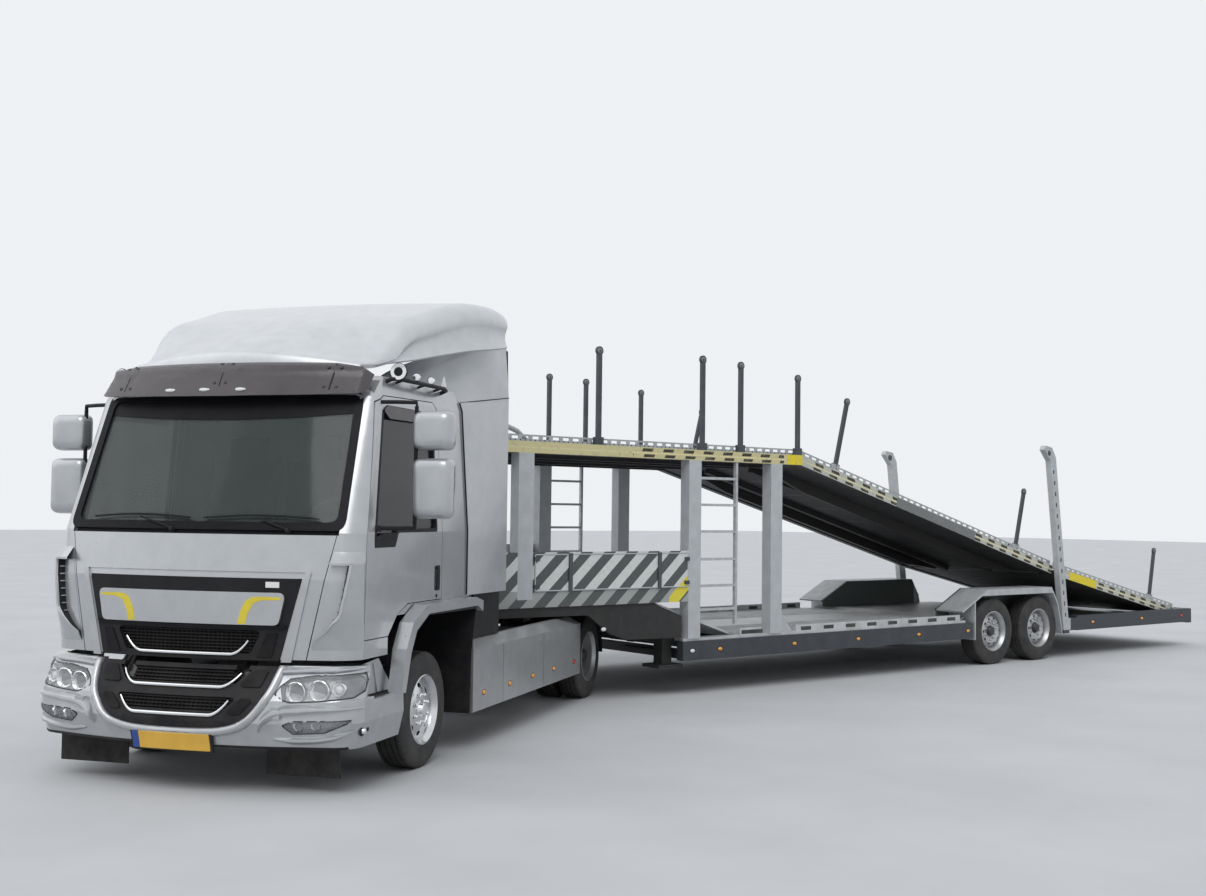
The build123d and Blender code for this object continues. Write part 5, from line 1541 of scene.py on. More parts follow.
def visor_fittings():
    """Smoked visor with its flange and round ends, its screws, stays and three clear lamps."""
    visor = Piece("smoked_visor", TRACTOR, "cab", "visor").use("smoked")
    half = [
        (0.0, 2.412), (0.60, 2.418), (0.90, 2.428), (0.940, 2.436), (0.955, 2.455), (0.955, 2.560),
        (0.900, 2.606), (0.72, 2.636), (0.0, 2.642),
    ]
    visor.panel(half + flipped(reversed(half[1:-1])), visor_point, 0.005, 0.045)
    visor.done(angle=50, replaces=("sun_visor",))

    piece = Piece("visor_fittings", TRACTOR, "cab", "black_plastic")
    screw = [(0.0, 0.006), (0.009, 0.005), (0.013, -0.002)]
    # stays: place across, upper and lower screws
    for y, high, low in ((0.73, 2.600, 2.470), (-0.01, 2.628, 2.500), (-0.75, 2.610, 2.475)):
        for dy in (-0.04, 0.04):
            for z in (high, low):
                at = visor_point(y + dy, z, 0.0)
                piece.use("chassis").lathe(screw, at, (1, 0, 0.45), 12)
        stay = [visor_point(y, z, 0.012) for z in (low - 0.02, (high + low) / 2, high + 0.01)]
        piece.use("black").tube(stay + [stay[-1] - Vector((0.16, 0, 0.07))], 0.014, 8)
    for y in (-0.365, -0.107, 0.150):
        first = len(piece.bm.verts)
        piece.use("chrome").lathe([(0.0, 0.004), (0.012, 0.004), (0.015, -0.004)], (0, 0, 0), "X", 24)
        piece.use("white_lens").lathe([(0.0, 0.010), (0.007, 0.009), (0.0115, 0.004)], (0, 0, 0), "X", 24)
        at = visor_point(y, 2.452, -0.004)
        piece.turned(Matrix.Translation(at) @ Matrix.Diagonal((1, 2.6, 0.9, 1)), first)
    piece.done()


def screen_surround():
    """Black printed border of the windscreen, shade band and cowl."""
    whole = mirrored(SCREEN)
    border = [(y, max(z, 1.573)) for y, z in rounded(moved(whole, 0.022), 0.075, 5)]
    clear = rounded(moved(whole, -0.032), 0.055, 5)
    piece = Piece("screen_border", TRACTOR, "cab", "black_plastic")
    lay(piece, "gloss_black", border, 0.0015, 0.013, 0.07, holes=[clear])
    shade = [(0.868, 2.395), (-0.868, 2.395)]
    shade += [(-0.870 + 1.740 * k / 16, 2.265 + 0.045 * (2 * k / 16 - 1) ** 2) for k in range(17)]
    lay(piece, "gloss_black", shade, -0.0085, 0.003, 0.07)
    lay(piece, "black", oblong(-0.93, 0.93, 1.548, 1.590), -0.026, 0.004, 0.08)
    piece.done(angle=50)


def wipers():
    """The two parked wipers."""
    piece = Piece("wipers", TRACTOR, "cab", "black_plastic").use("black")
    for pivot, start, end in ((0.62, 0.80, 0.06), (-0.16, -0.04, -0.76)):
        foot = CAB.front(pivot, 1.572, 0.018)
        piece.lathe([(0.0, 0.034), (0.012, 0.033), (0.018, 0.022), (0.022, 0.0)], foot, (1, 0, 0.4), 16)
        elbow = CAB.front(pivot - 0.10, 1.605, -0.018)
        hold = CAB.front((start + end) / 2, 1.642, -0.020)
        piece.tube([foot + Vector((0.022, 0, 0.012)), elbow, hold], 0.0065, 8)
        blade = [
            CAB.front(start + (end - start) * k / 12, 1.640 + 0.018 * sin(pi * k / 12), -0.013)
            for k in range(13)
        ]
        piece.tube(blade, 0.007, 8)
        piece.tube([p - Vector((0.006, 0, 0.002)) for p in blade], 0.004, 6)
    piece.done()


def smile_bar(piece, half, ends, middle, lift, radius, skin):
    """Bright grille bar: level in the middle, with ends that curve up and taper."""
    count, turns = 40, 12
    points = []
    for k in range(count + 1):
        y = half * (2 * k / count - 1)
        rise = max(0.0, (abs(y) - (half - 0.115)) / 0.115)
        points.append(skin.front(y, middle + (ends - middle) * rise ** 1.9, -lift))
    rows = []
    for k, here in enumerate(points):
        tangent = (points[min(k + 1, count)] - points[max(k - 1, 0)]).normalized()
        side = tangent.cross(Vector((1, 0, 0))).normalized()
        out = side.cross(tangent).normalized()
        thick = radius * (0.55 + 0.45 * min(1.0, min(k, count - k) / 6))
        rows.append(piece.verts([
            here + side * cos(2 * pi * i / turns) * thick * 1.25 + out * sin(2 * pi * i / turns) * thick
            for i in range(turns)
        ]))
    piece.shell(rows)


def grating(piece, skin, rows, columns, low, high, back):
    """Thin bars set back in an opening: rows of (height, half width) and columns at places across."""
    for z, half in rows:
        piece.panel(oblong(-half, half, z - 0.0035, z + 0.0035), on_front(skin, -back), 0.014, 0.07)
    for y in columns:
        piece.panel(oblong(y - 0.003, y + 0.003, low, high), on_front(skin, -back - 0.006), 0.006, 0.09)


def lid_wings():
    """Raised wings down both edges of the lid and the crest along its top."""
    wings = Piece("lid_wings", TRACTOR, "front_lid", "cab_paint")
    ridge = [(0.757, 1.322), (0.790, 1.322), (0.684, 0.786), (0.622, 0.786)]
    for sign in (1, -1):
        lay(wings, "silver", on_hand(ridge, sign), 0.012, 0.018, 0.05)
    crest = [(0.757, 1.322), (0.790, 1.322), (0.775, 1.340)]
    crest += flipped(reversed(crest))
    lay(wings, "silver", crest, 0.010, 0.014, 0.06)
    wings.done(bevel=0.005, angle=30, segments=3)


def grille_panel():
    """Black grille panel of the lid with its intake and mesh."""
    border = rounded(mirrored(((0.735, 1.283), (0.611, 0.793))), 0.02)
    opening = rounded(mirrored(((0.500, 0.972), (0.430, 0.832))), 0.03)
    panel = Piece("grille_panel", TRACTOR, "front_lid", "black_plastic")
    lay(panel, "black", border, 0.006, 0.022, 0.05, holes=[opening])
    lay(panel, "gloss_black", mirrored(((0.655, 1.004), (0.640, 0.985))), 0.020, 0.012, 0.05)
    cheek = [(0.60, 0.955), (0.535, 0.955), (0.470, 0.815), (0.565, 0.815)]
    for sign in (1, -1):
        lay(panel, "gloss_black", on_hand(cheek, sign), 0.014, 0.010, 0.05)
    lay(panel, "mesh", mirrored(((0.52, 0.985), (0.45, 0.820))), -0.024, 0.004, 0.06)
    heights = [0.846 + 0.0195 * i for i in range(7)]
    rows = [(z, 0.428 + (z - 0.832) / 0.14 * 0.070 - 0.006) for z in heights]
    columns = [y for y in (-0.48 + 0.03 * i for i in range(33)) if abs(y) < 0.43]
    grating(panel, CAB, rows, columns, 0.834, 0.97, 0.006)
    panel.done(bevel=0.0015, angle=40, replaces=("grille",))


def upper_bar():
    """Bright bar across the lid's intake."""
    bar = Piece("upper_bright_bar", TRACTOR, "front_lid", "cab_paint").use("chrome")
    smile_bar(bar, 0.420, 0.912, 0.826, 0.012, 0.0085, CAB)
    bar.done(angle=50)


def badge_panel():
    """Badge panel without a badge, with its two bent stripes and a small pale plate."""
    badge = Piece("badge_panel", TRACTOR, "front_lid", "cab_paint")
    lay(badge, "silver", rounded(mirrored(((0.645, 1.200), (0.605, 1.005))), 0.04), 0.026, 0.020, 0.04)
    stripe = [
        (0.618, 1.157), (0.500, 1.153), (0.452, 1.135), (0.418, 1.075), (0.402, 1.010), (0.352, 1.010),
        (0.368, 1.085), (0.398, 1.146), (0.440, 1.172), (0.500, 1.176), (0.618, 1.172),
    ]
    for sign in (1, -1):
        lay(badge, "yellow", on_hand(stripe, sign), 0.0275, 0.003, 0.04)
    lay(badge, "plate_white", oblong(0.515, 0.600, 1.229, 1.264), 0.0075, 0.003, 0.05)
    badge.done(bevel=0.003, angle=40)


def bowl_curve(grow, top=BOWL_TOP[1]):
    """Smooth lower grille outline from top left down and round to top right, moved out by an amount."""
    points = [Vector((BOWL_TOP[0], top))] + [Vector(p) for p in BOWL]
    last = len(points) - 1
    result = []
    for i, here in enumerate(points):
        along = (points[min(i + 1, last)] - points[max(i - 1, 0)]).normalized()
        normal = Vector((-along.y, along.x))
        # outwards: to the left down the side, downwards along the bottom
        if (normal.x < 0 and i < 4) or (normal.y > 0 and i >= 4):
            normal = -normal
        out = here + normal * grow
        result.append((out.x if i < last else 0.0, out.y if i else top))
    dense = [tuple(float(v) for v in spline_row(result, k / 4)) for k in range(4 * last)]
    return dense + [result[-1]] + flipped(reversed(dense))


def lower_grille():
    """Lower grille panel with its mesh and fins, its bright rim and its two bright bars."""
    grille = Piece("lower_grille_panel", TRACTOR, "chassis", "black_plastic")
    # the upper opening and the two slots over it leave room for the arms of the tilting cab
    upper = rounded([(-0.455, 0.735), (-0.375, 0.655), (0.375, 0.655), (0.455, 0.735)], (0, 0.03, 0.03, 0))
    lower = rounded(mirrored(((0.420, 0.582), (0.325, 0.502))), 0.03)
    lay(grille, "black", bowl_curve(-0.004, 0.735) + upper, 0.002, 0.024, 0.045, BUMPER, [lower])
    for start, end in ((0.605, 0.432), (0.350, -0.350), (-0.432, -0.605)):
        lay(grille, "black", oblong(end, start, 0.735, 0.760), 0.002, 0.024, 0.045, BUMPER)
    for half_top, half_low, high, low in ((0.350, 0.350, 0.742, 0.650), (0.435, 0.345, 0.590, 0.496)):
        lay(grille, "mesh", mirrored(((half_top, high), (half_low, low))), -0.026, 0.004, 0.06, BUMPER)
        heights = [low + 0.020 + (high - low - 0.034) * i / 3 for i in range(4)]
        rows = [(z, half_low + (half_top - half_low) * (z - low) / (high - low) - 0.012) for z in heights]
        columns = [y for y in (-0.39 + 0.03 * i for i in range(27)) if abs(y) < half_low]
        grating(grille, BUMPER, rows, columns, low + 0.01, high - 0.01, 0.010)
    for outline in (
        [(0.565, 0.735), (0.475, 0.735), (0.395, 0.640), (0.540, 0.640)],
        [(0.520, 0.575), (0.440, 0.575), (0.345, 0.485), (0.440, 0.485)],
    ):
        for sign in (1, -1):
            lay(grille, "gloss_black", rounded(on_hand(outline, sign), 0.02), 0.010, 0.010, 0.05, BUMPER)
    grille.done(bevel=0.0015, angle=40, replaces=("lower_grille",))

    rim = Piece("bowl_rim", TRACTOR, "chassis", "cab_paint").use("silver")
    # section of the rim: share of the way from the outer to the inner edge, and how far in
    section = ((0, -0.001), (0.25, -0.016), (0.5, -0.024), (0.8, -0.020), (1, -0.004), (1, 0.020), (0, 0.004))
    rows = []
    for a, b in zip(bowl_curve(0.052), bowl_curve(-0.002)):
        rows.append(rim.verts([
            BUMPER.front(a[0] * (1 - t) + b[0] * t, a[1] * (1 - t) + b[1] * t, inset) for t, inset in section
        ]))
    rim.shell(rows)
    rim.done(angle=60)

    bars = Piece("lower_bright_bars", TRACTOR, "chassis", "cab_paint").use("chrome")
    smile_bar(bars, 0.400, 0.712, 0.633, 0.010, 0.0085, BUMPER)
    smile_bar(bars, 0.367, 0.563, 0.476, 0.010, 0.0085, BUMPER)
    bars.done(angle=50)


def number_plate():
    """Blank number plate with its holder and blue end."""
    plate = Piece("number_plate", TRACTOR, "chassis", "cab_paint")
    lay(plate, "black", oblong(-0.275, 0.275, 0.252, 0.380), 0.022, 0.020, 0.08, BUMPER)
    faces = (("plate_yellow", -0.214, 0.260, 0.008), ("plate_blue", -0.260, -0.216, 0.006))
    for finish, start, end, radius in faces:
        face = rounded(oblong(start, end, 0.262, 0.372), radius)
        lay(plate, finish, face, 0.028, 0.006, 0.08, BUMPER)
    plate.done(bevel=0.001)


# ledges of the bumper: path (across, up), then section (out, up)
LEDGES = (
    # brow over the headlamp
    (((0.612, 0.735), (0.66, 0.744), (0.80, 0.752), (0.95, 0.756), (1.083, 0.757)),
     ((-0.012, 0.010), (0.010, 0.012), (0.034, -0.002), (0.036, -0.014), (0.028, -0.024), (-0.012, -0.030))),
    # blade that frames the fog lamp
    (((0.560, 0.392), (0.575, 0.440), (0.620, 0.490), (0.700, 0.518), (0.850, 0.528), (1.114, 0.532)),
     ((-0.012, 0.028), (0.014, 0.026), (0.042, 0.004), (0.044, -0.012), (0.030, -0.030), (-0.012, -0.036))),
    # lip under it
    (((0.640, 0.352), (0.760, 0.345), (0.900, 0.350), (1.000, 0.368), (1.080, 0.395)),
     ((-0.010, 0.014), (0.010, 0.014), (0.026, 0.002), (0.026, -0.010), (-0.010, -0.030))),
)


def ledge(piece, path, profile):
    """Moulded ledge swept along the bumper on its left and right, by its path and section."""
    for sign in (1, -1):
        rows = []
        count = 8 * (len(path) - 1)
        for k in range(count + 1):
            y, z = (float(v) for v in spline_row(path, k / 8))
            share = min(1.0, 0.25 + 3.0 * min(k, count - k) / count)
            base = BUMPER.front(sign * y, z, 1e-6)
            normal = (BUMPER.front(sign * y, z, -0.01) - base).normalized()
            normal.z = 0
            normal.normalize()
            rows.append(piece.verts([
                base + normal * out * share + Vector((0, 0, up * share)) for out, up in profile
            ]))
        piece.shell(rows)


def bumper_trim():
    """Ledges and lip of the bumper, side lamps, studded treads of the lower steps and the steps' walls."""
    trim = Piece("bumper_trim", TRACTOR, "chassis", "cab_paint").use("silver")
    for path, profile in LEDGES:
        ledge(trim, path, profile)
    lay(trim, "black", oblong(-1.05, 1.05, 0.286, 0.300), 0.004, 0.020, 0.06, BUMPER)
    for sign in (1, -1):
        at = BUMPER.side(0.985, 0.388, 0.0, sign)
        out = (0, sign, 0)
        trim.use("black").lathe([(0.0, 0.002), (0.026, 0.004), (0.032, -0.004)], at, out, 24)
        trim.use("chrome").lathe([(0.0, 0.024), (0.012, 0.021), (0.018, 0.012), (0.019, 0.002)], at, out, 24)
        at = BUMPER.side(0.925, 0.392, 0.0, sign)
        trim.use("black").lathe([(0.0, 0.006), (0.011, 0.005), (0.014, -0.003)], at, out, 16)
    for sign in (1, -1):
        trim.use("black").box((0.490, 0.868), (sign * 0.845, sign * 1.083), (0.5602, 0.566))
        for i in range(9):
            for j in range(5):
                at = (0.515 + 0.041 * i, sign * (0.87 + 0.048 * j), 0)
                trim.lathe([(0.0, 0.573), (0.007, 0.572), (0.011, 0.566)], at, "Z", 8)
        trim.use("silver")
        wall = [
            (0.450, 0.600), (0.500, 0.574), (0.868, 0.574), (0.868, 0.765), (0.640, 0.785), (0.560, 0.700),
        ]
        trim.prism(rounded(wall, 0.02), "XZ", sign * 1.044, sign * 1.036)
        rib = [(0.640, 0.580), (0.668, 0.580), (0.724, 0.760), (0.696, 0.765)]
        trim.prism(rib, "XZ", sign * 1.052, sign * 1.042)
    trim.done(bevel=0.004, angle=35, segments=3)


def lamp_unit(name, outline, lights, depth, hole, replaced=()):
    """Lamp behind a clear cover: painted surround, dark tray, bright bezels and round projectors."""
    tray = Piece(f"{name}_inside", TRACTOR, "chassis", "lamp_glass")
    for side in (1, -1):
        shape = on_hand(rounded(outline, 0.012, 3), side)
        lay(tray, "silver", on_hand(moved(hole, 0.004), side), -0.002, 0.010, 0.04, BUMPER, [shape])
        lay(tray, "lamp_tray", on_hand(moved(hole, -0.002), side), -depth, 0.004, 0.05, BUMPER)
        for y, z, radius, middle in lights:
            at = BUMPER.front(side * y, z, depth - 0.004)
            aim = (1, side * 0.08, 0)
            bezel = (
                (1.02, 0.030), (1.10, 0.026), (1.12, 0.0), (1, 0.0), (0.66, 0.004), (0.72, 0.012),
                (0.90, 0.024), (1.02, 0.030),
            )
            lens = ((0.0, 0.024), (0.38, 0.022), (0.60, 0.013), (0.66, 0.004))
            disc = ((0.0, 0.003), (0.68, 0.003), (0.68, 0.0))
            for finish, rows, steps in (("chrome", bezel, 36), (middle, lens, 32), ("gloss_black", disc, 32)):
                tray.use(finish).lathe([(radius * share, out) for share, out in rows], at, aim, steps)
    tray.done(angle=40)
    cover = Piece(f"{name}_covers", TRACTOR, "chassis", "lamp_glass")
    for side in (1, -1):
        shape = on_hand(rounded(moved(outline, -0.001), 0.012, 3), side)
        lay(cover, "lens", shape, 0.001, 0.004, 0.04, BUMPER)
    for side in (1, -1):
        outer = on_hand(rounded(moved(outline, 0.003), 0.012, 3), side)
        inner = on_hand(rounded(moved(outline, -0.005), 0.010, 3), side)
        lay(cover, "gloss_black", outer, 0.0, 0.008, 0.04, BUMPER, [inner])
    cover.done(angle=40, replaces=replaced)


def door_details(side_name, sign):
    """Window frame, shade strip, handle well and lock of a door."""
    piece = Piece(f"door_trim_{side_name}", TRACTOR, f"door_{side_name}", "black_plastic").use("black")
    hole = rounded(moved(WINDOW, -0.024), 0.03, 4)
    piece.panel(rounded(WINDOW, 0.035, 4), on_side(sign, 0.0015), 0.018, 0.06, [hole])
    sill = [(0.770, 1.470), (0.772, 1.535), (0.640, 1.560), (0.430, 1.560), (0.480, 1.470)]
    shade = [(0.585, 2.335), (0.520, 2.366), (-0.160, 2.366), (-0.150, 2.290), (0.500, 2.285)]
    well = oblong(-0.168, -0.262, 1.160, 1.330)
    grip = oblong(-0.190, -0.228, 1.178, 1.315)
    for finish, outline, radius, lift, thick, step in (
        ("black", sill, 0.02, 0.004, 0.010, 0.06), ("smoked", shade, 0.02, 0.010, 0.004, 0.06),
        ("black", well, 0.02, 0.0015, 0.004, 0.05), ("black", grip, 0.015, 0.012, 0.008, 0.05),
    ):
        piece.use(finish).panel(rounded(outline, radius), on_side(sign, lift), thick, step)
    lock = [(0.0, sign * 1.069), (0.012, sign * 1.068), (0.014, sign * 1.060)]
    piece.lathe(lock, (-0.205, 0, 1.125), "Y", 16)
    piece.done(bevel=0.0012, angle=40)


# mirror heads: lower and upper edge of each, and their edges across
MIRROR_HEADS = ((1.653, 2.033), (2.083, 2.330))
MIRROR_ACROSS = (1.200, 1.467)
# housing from its open back to its nose: place along, share of the full size
MIRROR_SHELL = (
    (0.470, 0.965), (0.476, 1.0), (0.510, 1.0), (0.540, 0.972), (0.562, 0.91), (0.576, 0.80), (0.580, 0.55),
)
MIRROR_ARM = (0.525, 1.218)


def mirror_head(piece, sign, low, high):
    """Painted housing with a rounded shell, and the glass in it."""
    middle = (sum(MIRROR_ACROSS) / 2, (low + high) / 2)
    width, rise = (MIRROR_ACROSS[1] - MIRROR_ACROSS[0]) / 2, (high - low) / 2
    rows = []
    piece.use("silver")
    for x, share in MIRROR_SHELL:
        w, h = width * share, rise - width * (1 - share)
        ring = rounded([(-w, -h), (w, -h), (w, h), (-w, h)], 0.055 * share, 7)
        rows.append(piece.verts([(x, sign * (middle[0] + a), middle[1] + b) for a, b in ring]))
    piece.loop_rows(rows)
    piece.face(rows[-1])
    rim = rounded([(-width, -rise), (width, -rise), (width, rise), (-width, rise)], 0.05, 7)
    rim = [(a * 0.93, b * 0.93) for a, b in rim]
    back = piece.use("black").verts([(0.474, sign * (middle[0] + a), middle[1] + b) for a, b in rim])
    piece.loop_rows([rows[0], back])
    piece.face(back)
    glass = [(sign * (middle[0] + a * 0.95), middle[1] + b * 0.95) for a, b in rim]
    piece.use("mirror_glass").prism(glass, "YZ", 0.4705, 0.4735)


def mirrors(side_name, sign):
    """The two mirror heads of a door on their black arm."""
    piece = Piece(f"mirror_heads_{side_name}", TRACTOR, f"door_{side_name}", "mirror_paint")
    for low, high in MIRROR_HEADS:
        mirror_head(piece, sign, low, high)
    piece.use("black")
    x, y = MIRROR_ARM[0], sign * MIRROR_ARM[1]
    radius = 0.013
    foot = [(0.740, sign * 1.040, 1.590), (0.60, sign * 1.160, 1.590), (x, y, 1.592), (x, y, 1.64)]
    head = [(x, y, 2.34), (x, y, 2.385), (0.57, sign * 1.10, 2.386), (0.600, sign * 0.985, 2.385)]
    for path in (foot, [(x, y, 1.62), (x, y, 2.36)], head):
        piece.tube(path, radius, 12)
    cap = [(0.0, 0.02), (0.03, 0.018), (0.036, 0.0), (0.036, -0.02)]
    piece.lathe(cap, (0.735, sign * 1.05, 1.59), "Z", 20)
    piece.done(angle=40, replaces=(f"mirror_{side_name}",))


# corner inlets: lower and upper end of the blade, and how high it stands
SCOOP_LOW, SCOOP_HIGH = 0.862, 1.372
SCOOP_DEPTH = 0.056


def scoop_point(t, z, lift, sign):
    """Point on the cab's corner: share of the way round from the lid's gap to the door, lifted off it."""
    gap = 0.775 + (z - 0.778) / 0.768 * 0.156 + 0.006
    at = CAB.around(CAB.length_at(z, y=gap), CAB.length_at(z, x=0.900), t, z, -lift)
    return Vector((at.x, sign * at.y, at.z))


def scoop_edge(z):
    """Share of the way round at which the blade's front edge stands."""
    return 0.02 + 0.40 * clamp((z - 0.93) / 0.14) ** 0.6 + 0.06 * max(0.0, (z - 1.07) / 0.30)


def corner_scoops():
    """Raised blades on the cab's front corners, each with an inlet whose outer wall is ribbed."""
    piece = Piece("corner_scoops", TRACTOR, "cab", "cab_paint")
    count_z, count_t = 26, 16
    for sign in (1, -1):
        outer, wall, pocket = [], [], []
        for i in range(count_z + 1):
            z = SCOOP_LOW + (SCOOP_HIGH - SCOOP_LOW) * i / count_z
            edge = scoop_edge(z)
            swell = min(1.0, (z - SCOOP_LOW) / 0.16) ** 0.8 + 0.02
            top = SCOOP_DEPTH * swell
            row = []
            for j in range(count_t + 1):
                lift = max(0.0018, (top - 0.004) * (1 - j / count_t) ** 0.85 + 0.0025)
                row.append(scoop_point(edge + (1 - edge) * j / count_t, z, lift, sign))
            lip = scoop_point(edge - 0.012, z, top - 0.012 * swell, sign)
            crest = scoop_point(edge - 0.012, z, top, sign)
            brow = scoop_point(edge + 0.030, z, top + 0.004 * swell, sign)
            outer.append([lip, crest, brow] + row[1:])
            wall.append([scoop_point(edge - 0.012, z, 0.0015, sign), lip])
            pocket.append([scoop_point(edge * k / 5, z, 0.0015, sign) for k in range(6)])
        piece.use("silver").strip(outer)
        piece.strip(pocket)
        piece.use("black").strip(wall)
        # ledge over the inlet, sloping back to the cab
        shelf = []
        edge = scoop_edge(SCOOP_HIGH)
        for j in range(count_t + 5):
            t = j / (count_t + 4)
            past = max(0.0, (t - edge) / (1 - edge))
            lift = (SCOOP_DEPTH - 0.002) * (1 - past) ** 0.85 + 0.002
            steps = ((-0.003, 0.0015), (-0.003, lift), (0.010, lift + 0.001), (0.070, 0.004), (0.076, 0.0005))
            shelf.append([scoop_point(t, SCOOP_HIGH + rise, out, sign) for rise, out in steps])
        piece.use("silver").strip(shelf)
        piece.use("wheel_silver")
        for i in range(7):
            z = 1.045 + 0.046 * i
            edge = scoop_edge(z) - 0.012
            rib = [
                [scoop_point(edge - back, z + rise, lift, sign) for lift in (0.004, 0.020, 0.034)]
                for back, rise in ((0.002, 0.003), (0.002, -0.003), (0.030, -0.003), (0.030, 0.003))
            ]
            piece.strip(rib + rib[:1])
    piece.done(angle=40)


def roof_fittings():
    """Roof edge tube with a horn and small lamps on each side, and a small bracket on the left."""
    piece = Piece("roof_rail", TRACTOR, "cab", "black_plastic").use("black")
    path = [
        (0.46, 0.955, 2.52), (0.44, 1.00, 2.545), (0.38, 1.02, 2.552), (0.10, 1.030, 2.552),
        (-0.35, 1.035, 2.552), (-0.42, 1.020, 2.545), (-0.44, 0.96, 2.525),
    ]
    piece.tube(path, 0.014, 12)
    for x in (0.30, -0.05, -0.32):
        piece.rod((x, 0.955, 2.53), (x, 1.025, 2.552), 0.009, 10)
    horn = [
        (0.0, 0.055), (0.052, 0.055), (0.058, 0.045), (0.050, 0.020), (0.030, -0.02), (0.022, -0.07),
        (0.0, -0.075),
    ]
    bell = [(0.0, 0.052), (0.040, 0.056), (0.052, 0.058), (0.054, 0.050)]
    lamp = [(0.0, 0.026), (0.022, 0.024), (0.028, 0.010), (0.022, -0.02), (0.0, -0.024)]
    piece.lathe(horn, (0.36, 1.03, 2.595), (1, 0.1, 0), 28)
    piece.use("chrome").lathe(bell, (0.36, 1.03, 2.595), (1, 0.1, 0), 28)
    for x in (0.12, -0.12):
        piece.lathe(lamp, (x, 1.035, 2.585), (1, 0.35, 0), 20)
    piece.mirror()
    piece.use("white_lens").prism([(-0.33, 2.565), (-0.41, 2.565), (-0.37, 2.64)], "XZ", 1.02, 1.028)
    piece.done(bevel=0.001, angle=40)


SKIRT_LAMPS = ((-0.92, "amber"), (-1.47, "amber"), (-2.01, "amber"), (-2.55, "amber"), (-3.12, "red"))
SKIRT_FACE = 1.150


def skirt_details():
    """Side lamps, panel joints and fasteners of the side skirts, and a small lamp over them."""
    piece = Piece("skirt_details", TRACTOR, "chassis", "cab_paint")
    base = ((0.0, 0.001), (0.036, 0.001), (0.038, -0.002))
    lens = ((0.0, 0.012), (0.016, 0.011), (0.026, 0.006), (0.030, 0.0))
    for x, color in SKIRT_LAMPS:
        oval_lamp(piece, color, x, 0.39, SKIRT_FACE, base, lens, (1.2, 1, 0.6))
    piece.use("black")
    for x in (-1.32, -2.28):
        piece.box((x - 0.002, x + 0.002), (1.1495, 1.1506), (0.275, 0.71))
    piece.use("amber").box((-0.752, -0.722), (1.05, 1.095), (0.728, 0.748))
    piece.use("wheel_silver")
    for x in (-0.80, -1.22, -1.42, -2.18, -2.38, -3.20):
        for z in (0.32, 0.66):
            piece.lathe([(0.0, 1.1525), (0.006, 1.152), (0.009, 1.1498)], (x, 0, z), "Y", 10)
    piece.mirror()
    piece.done(bevel=0.001)


def make_tractor():
    M["cab_skin"] = inside_trim()
    for name, finish in TRACTOR_FINISHES.items():
        finish_node(name, finish)
    roof_spoiler()
    spoiler_cheeks()
    deflector_trim()
    visor_fittings()
    screen_surround()
    wipers()
    lid_wings()
    grille_panel()
    badge_panel()
    upper_bar()
    lower_grille()
    number_plate()
    bumper_trim()
    lamp_unit("headlamp", LAMP, LAMP_LIGHTS, 0.040, LAMP_HOLE, ("headlamps",))
    lamp_unit("fog_lamp", FOG, FOG_LIGHTS, 0.030, FOG_HOLE)
    for make in (door_details, mirrors):
        for side_name, sign in SIDES:
            make(side_name, sign)
    corner_scoops()
    roof_fittings()
    skirt_details()


# Stage

FLOOR_SIZE = 90.0
FLOOR_DARK, FLOOR_LIGHT = (0.54, 0.55, 0.56), (0.60, 0.61, 0.62)
# light of the sky, from the horizon to overhead, and the plain white that is seen, mirrored or seen through
HORIZON, OVERHEAD, SKY_STRENGTH = (0.30, 0.32, 0.34), (0.92, 0.95, 1.0), 0.72
BACKDROP = (0.86, 0.88, 0.90, 1)
SEEN_RAYS = ("Is Camera Ray", "Is Glossy Ray", "Is Transmission Ray")
# soft suns: direction, strength, width in degrees
SUNS = {"key": ((-0.60, -0.62, -1.0), 1.15, 40), "fill": ((-0.9, 0.7, -0.8), 0.45, 60)}


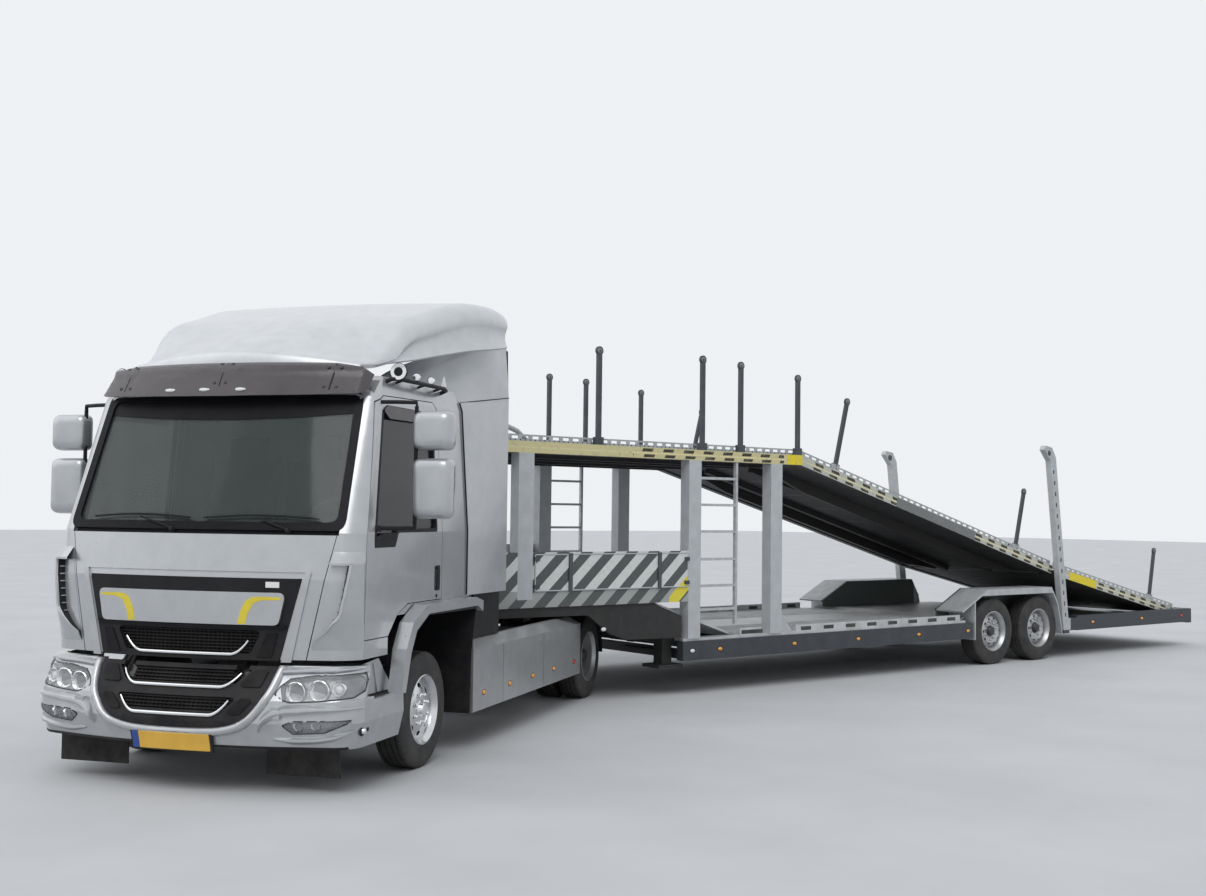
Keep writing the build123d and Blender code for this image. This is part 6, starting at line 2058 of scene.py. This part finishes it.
def make_floor():
    """Pale, slightly uneven floor."""
    floor = bpy.data.meshes.new("floor")
    size = FLOOR_SIZE
    corners = [(-size, -size, 0), (size, -size, 0), (size, size, 0), (-size, size, 0)]
    floor.from_pydata(corners, [], [(0, 1, 2, 3)])
    mat = bpy.data.materials.new("floor_pale")
    mat.use_nodes = True
    tree = mat.node_tree
    shader = tree.nodes["Principled BSDF"]
    coords = node(tree, "ShaderNodeTexCoord").outputs["Object"]
    tone = ramp(tree, noise(tree, coords, 0.8, 6.0), 0.3, 0.7, FLOOR_DARK, FLOOR_LIGHT)
    tree.links.new(tone, shader.inputs["Base Color"])
    shader.inputs["Roughness"].default_value = 0.85
    floor.materials.append(mat)
    plane = bpy.data.objects.new("floor", floor)
    bpy.context.scene.collection.objects.link(plane)


def make_sky():
    """Soft daylight from all round as under a cloudy sky, before a plain white backdrop."""
    world = bpy.data.worlds.new("studio")
    bpy.context.scene.world = world
    world.use_nodes = True
    tree = world.node_tree
    background = tree.nodes["Background"]
    coords = node(tree, "ShaderNodeTexCoord").outputs["Generated"]
    height = node(tree, "ShaderNodeSeparateXYZ", {"Vector": coords}).outputs["Z"]
    tree.links.new(ramp(tree, height, 0.0, 0.7, HORIZON, OVERHEAD), background.inputs["Color"])
    background.inputs["Strength"].default_value = SKY_STRENGTH
    path = node(tree, "ShaderNodeLightPath")
    white = node(tree, "ShaderNodeBackground", {"Color": BACKDROP, "Strength": 1.0})
    seen = joined(tree, "MAXIMUM", [path.outputs[name] for name in SEEN_RAYS])
    blend = node(tree, "ShaderNodeMixShader", {0: seen})
    tree.links.new(background.outputs[0], blend.inputs[1])
    tree.links.new(white.outputs[0], blend.inputs[2])
    tree.links.new(blend.outputs[0], tree.nodes["World Output"].inputs["Surface"])


def make_suns():
    for name, (aim, strength, angle) in SUNS.items():
        lamp = bpy.data.lights.new(name, "SUN")
        lamp.energy = strength
        lamp.angle = radians(angle)
        made = bpy.data.objects.new(name, lamp)
        made.rotation_euler = Vector(aim).to_track_quat("-Z", "Y").to_euler()
        bpy.context.scene.collection.objects.link(made)


bpy.context.scene.view_settings.view_transform = "Standard"
make_camera()
make_materials()
make_trailer_materials()
make_floor()
make_sky()
make_suns()
make_trailer()
make_tractor()
make_wheels()
